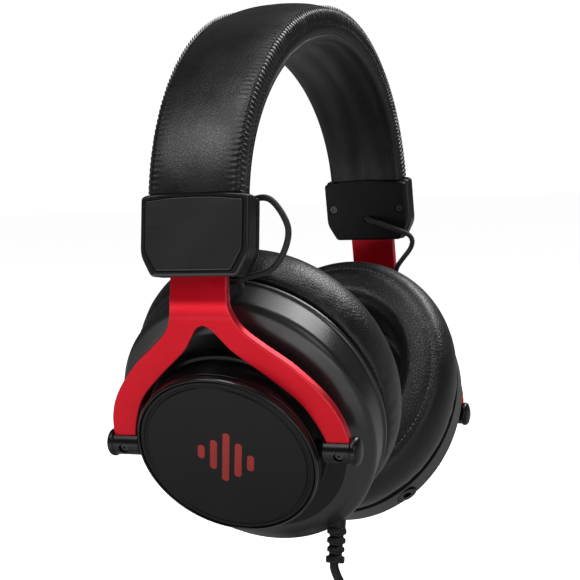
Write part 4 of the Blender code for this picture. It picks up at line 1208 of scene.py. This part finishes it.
# ------------------------------------------------------------------ bridge cables
CTRL_L = [BLOCK_M @ Vector(p) for p in ((-3.2, 0, 10.0), (-6.6, -0.6, 10.6), (-9.2, -4.0, 16.0), (-9.0, -12.5, 24.6), (-8.5, -20.5, 25.6), (-8.4, -26.8, 17.0), (-10.0, -25.2, 9.0), (-12.4, -19.5, 3.0))]
CTRL_L += [CUP["left"] @ Vector(p) for p in ((-20.6, -9.0, 54.0), (-20.4, -8.0, 50.5))]
CTRL_R = [BLOCK_M @ Vector(p) for p in ((-3.2, 0, 10.0), (-6.6, -0.6, 10.2), (-9.0, -6.0, 9.0), (-10.0, -14.5, 6.0), (-10.5, -20.8, 3.0), (-12.5, -21.4, -1.5), (-17.0, -16.0, -9.0))]
CTRL_R += [CUP["right"] @ Vector(p) for p in ((-20.6, -11.0, 53.5), (-20.4, -8.0, 50.5))]
for side, ctrl in (("left", CTRL_L), ("right", CTRL_R)):
    line = smooth_path(ctrl, 40)
    if side == "left":
        line = [mirrored(p) for p in line]
    turn = max(min(range(len(line)), key=lambda i: line[i].y), split_at(line, 30.02))
    turn = min(turn, split_at(line, path_len(line) - 30.02) - 1)

    def ribs(i, ang):
        return 1.05 * (1.0 + 0.055 * math.sin(2.3 * i + ang * 2) + 0.03 * math.sin(2.3 * i - ang * 2))

    upper, lower = line[:turn + 1], line[turn:]
    o1 = place(side + "_bridge_upper", tube(upper, ribs, 16), M_BRAID, None, nodes=(side + "_bridge_cable",), angle=80)
    o2 = place(side + "_bridge_lower", tube(lower, ribs, 16), M_BRAID, None, nodes=(side + "_bridge_cable",), angle=80)
    mid = line[turn]
    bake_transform(o1)
    top, low = mid, lower[-1]
    dirv = (low - top)
    dirv.x = dirv.y = 0
    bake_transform(o2)
    print("BRIDGE", side, path_len(upper), path_len(lower))

# ------------------------------------------------------------------ stage and light
def stage_material(name, rgb, glow):
    n = Nodes(name, rgb, 0.85)
    n.p.inputs["Emission Color"].default_value = (1, 1, 1, 1)
    n.p.inputs["Emission Strength"].default_value = glow
    return n.m


def slab(name, size, loc, rot, mat):
    me = bpy.data.meshes.new(name)
    s = size / 2
    me.from_pydata([(-s, -s, 0), (s, -s, 0), (s, s, 0), (-s, s, 0)], [], [(0, 1, 2, 3)])
    me.materials.append(mat)
    ob = bpy.data.objects.new(name, me)
    bpy.context.scene.collection.objects.link(ob)
    ob.location = loc
    ob.rotation_euler = rot
    return ob


floor = slab("floor", 14.0, (0, 0, TABLE * MM - 0.0005), (0, 0, 0), stage_material("floor_pale", (0.85, 0.85, 0.85), 0.95))
floor.visible_diffuse = floor.visible_glossy = False
bounce = slab("floor_bounce", 5.0, (0, 0, TABLE * MM - 0.004), (0, 0, 0), stage_material("floor_bounce", (0.3, 0.3, 0.3), 0.30))
bounce.visible_camera = False
bm = bmesh.new()
bmesh.ops.create_uvsphere(bm, u_segments=48, v_segments=24, radius=6.5)
me = bpy.data.meshes.new("backdrop")
bm.to_mesh(me)
bm.free()
me.materials.append(stage_material("backdrop_white", (0.8, 0.8, 0.8), 1.0))
dome = bpy.data.objects.new("backdrop", me)
bpy.context.scene.collection.objects.link(dome)
dome.visible_diffuse = dome.visible_glossy = dome.visible_shadow = False
dome.visible_transmission = dome.visible_volume_scatter = False
world = bpy.data.worlds.new("studio")
bpy.context.scene.world = world
world.use_nodes = True
bg = world.node_tree.nodes["Background"]
bg.inputs["Color"].default_value = (1, 1, 1, 1)
bg.inputs["Strength"].default_value = 0.035
bpy.context.scene.view_settings.view_transform = "Standard"


def softbox(name, direction, dist, size, watts, size_y=None):
    d = Vector(direction).normalized()
    data = bpy.data.lights.new(name, "AREA")
    data.shape = "RECTANGLE"
    data.size, data.size_y = size, size_y or size
    data.energy = watts
    ob = bpy.data.objects.new(name, data)
    bpy.context.scene.collection.objects.link(ob)
    target = Vector((-0.03, 0, -0.1))
    ob.location = target + d * dist
    ob.rotation_mode = "QUATERNION"
    ob.rotation_quaternion = d.to_track_quat("Z", "Y")
    return ob


softbox("key_left", (-0.6, 0.36, 0.7), 1.1, 0.36, 2.2)
softbox("key_high", (-0.36, 0.05, 0.93), 1.1, 0.34, 2.2)
softbox("fill_right", (-0.5, -0.8, 0.35), 1.2, 0.5, 1.4)
softbox("top_soft", (0.1, -0.2, 1.0), 1.2, 0.5, 3.0)
softbox("rim_right", (0.60, -0.36, 0.70), 1.1, 0.5, 7.0)


def card(name, x0, x1, y0, y1, z, glow):
    ob = slab(name, 1.0, ((x0 + x1) / 2, (y0 + y1) / 2, z), (0, 0, 0), stage_material(name, (0.3, 0.3, 0.3), glow))
    ob.scale = (x1 - x0, y1 - y0, 1)
    ob.visible_camera = False


card("card_far", -0.95, -0.36, -0.7, 0.5, TABLE * MM + 0.002, 1.9)
card("card_near", -0.34, -0.14, -0.25, 0.35, TABLE * MM + 0.002, 0.65)
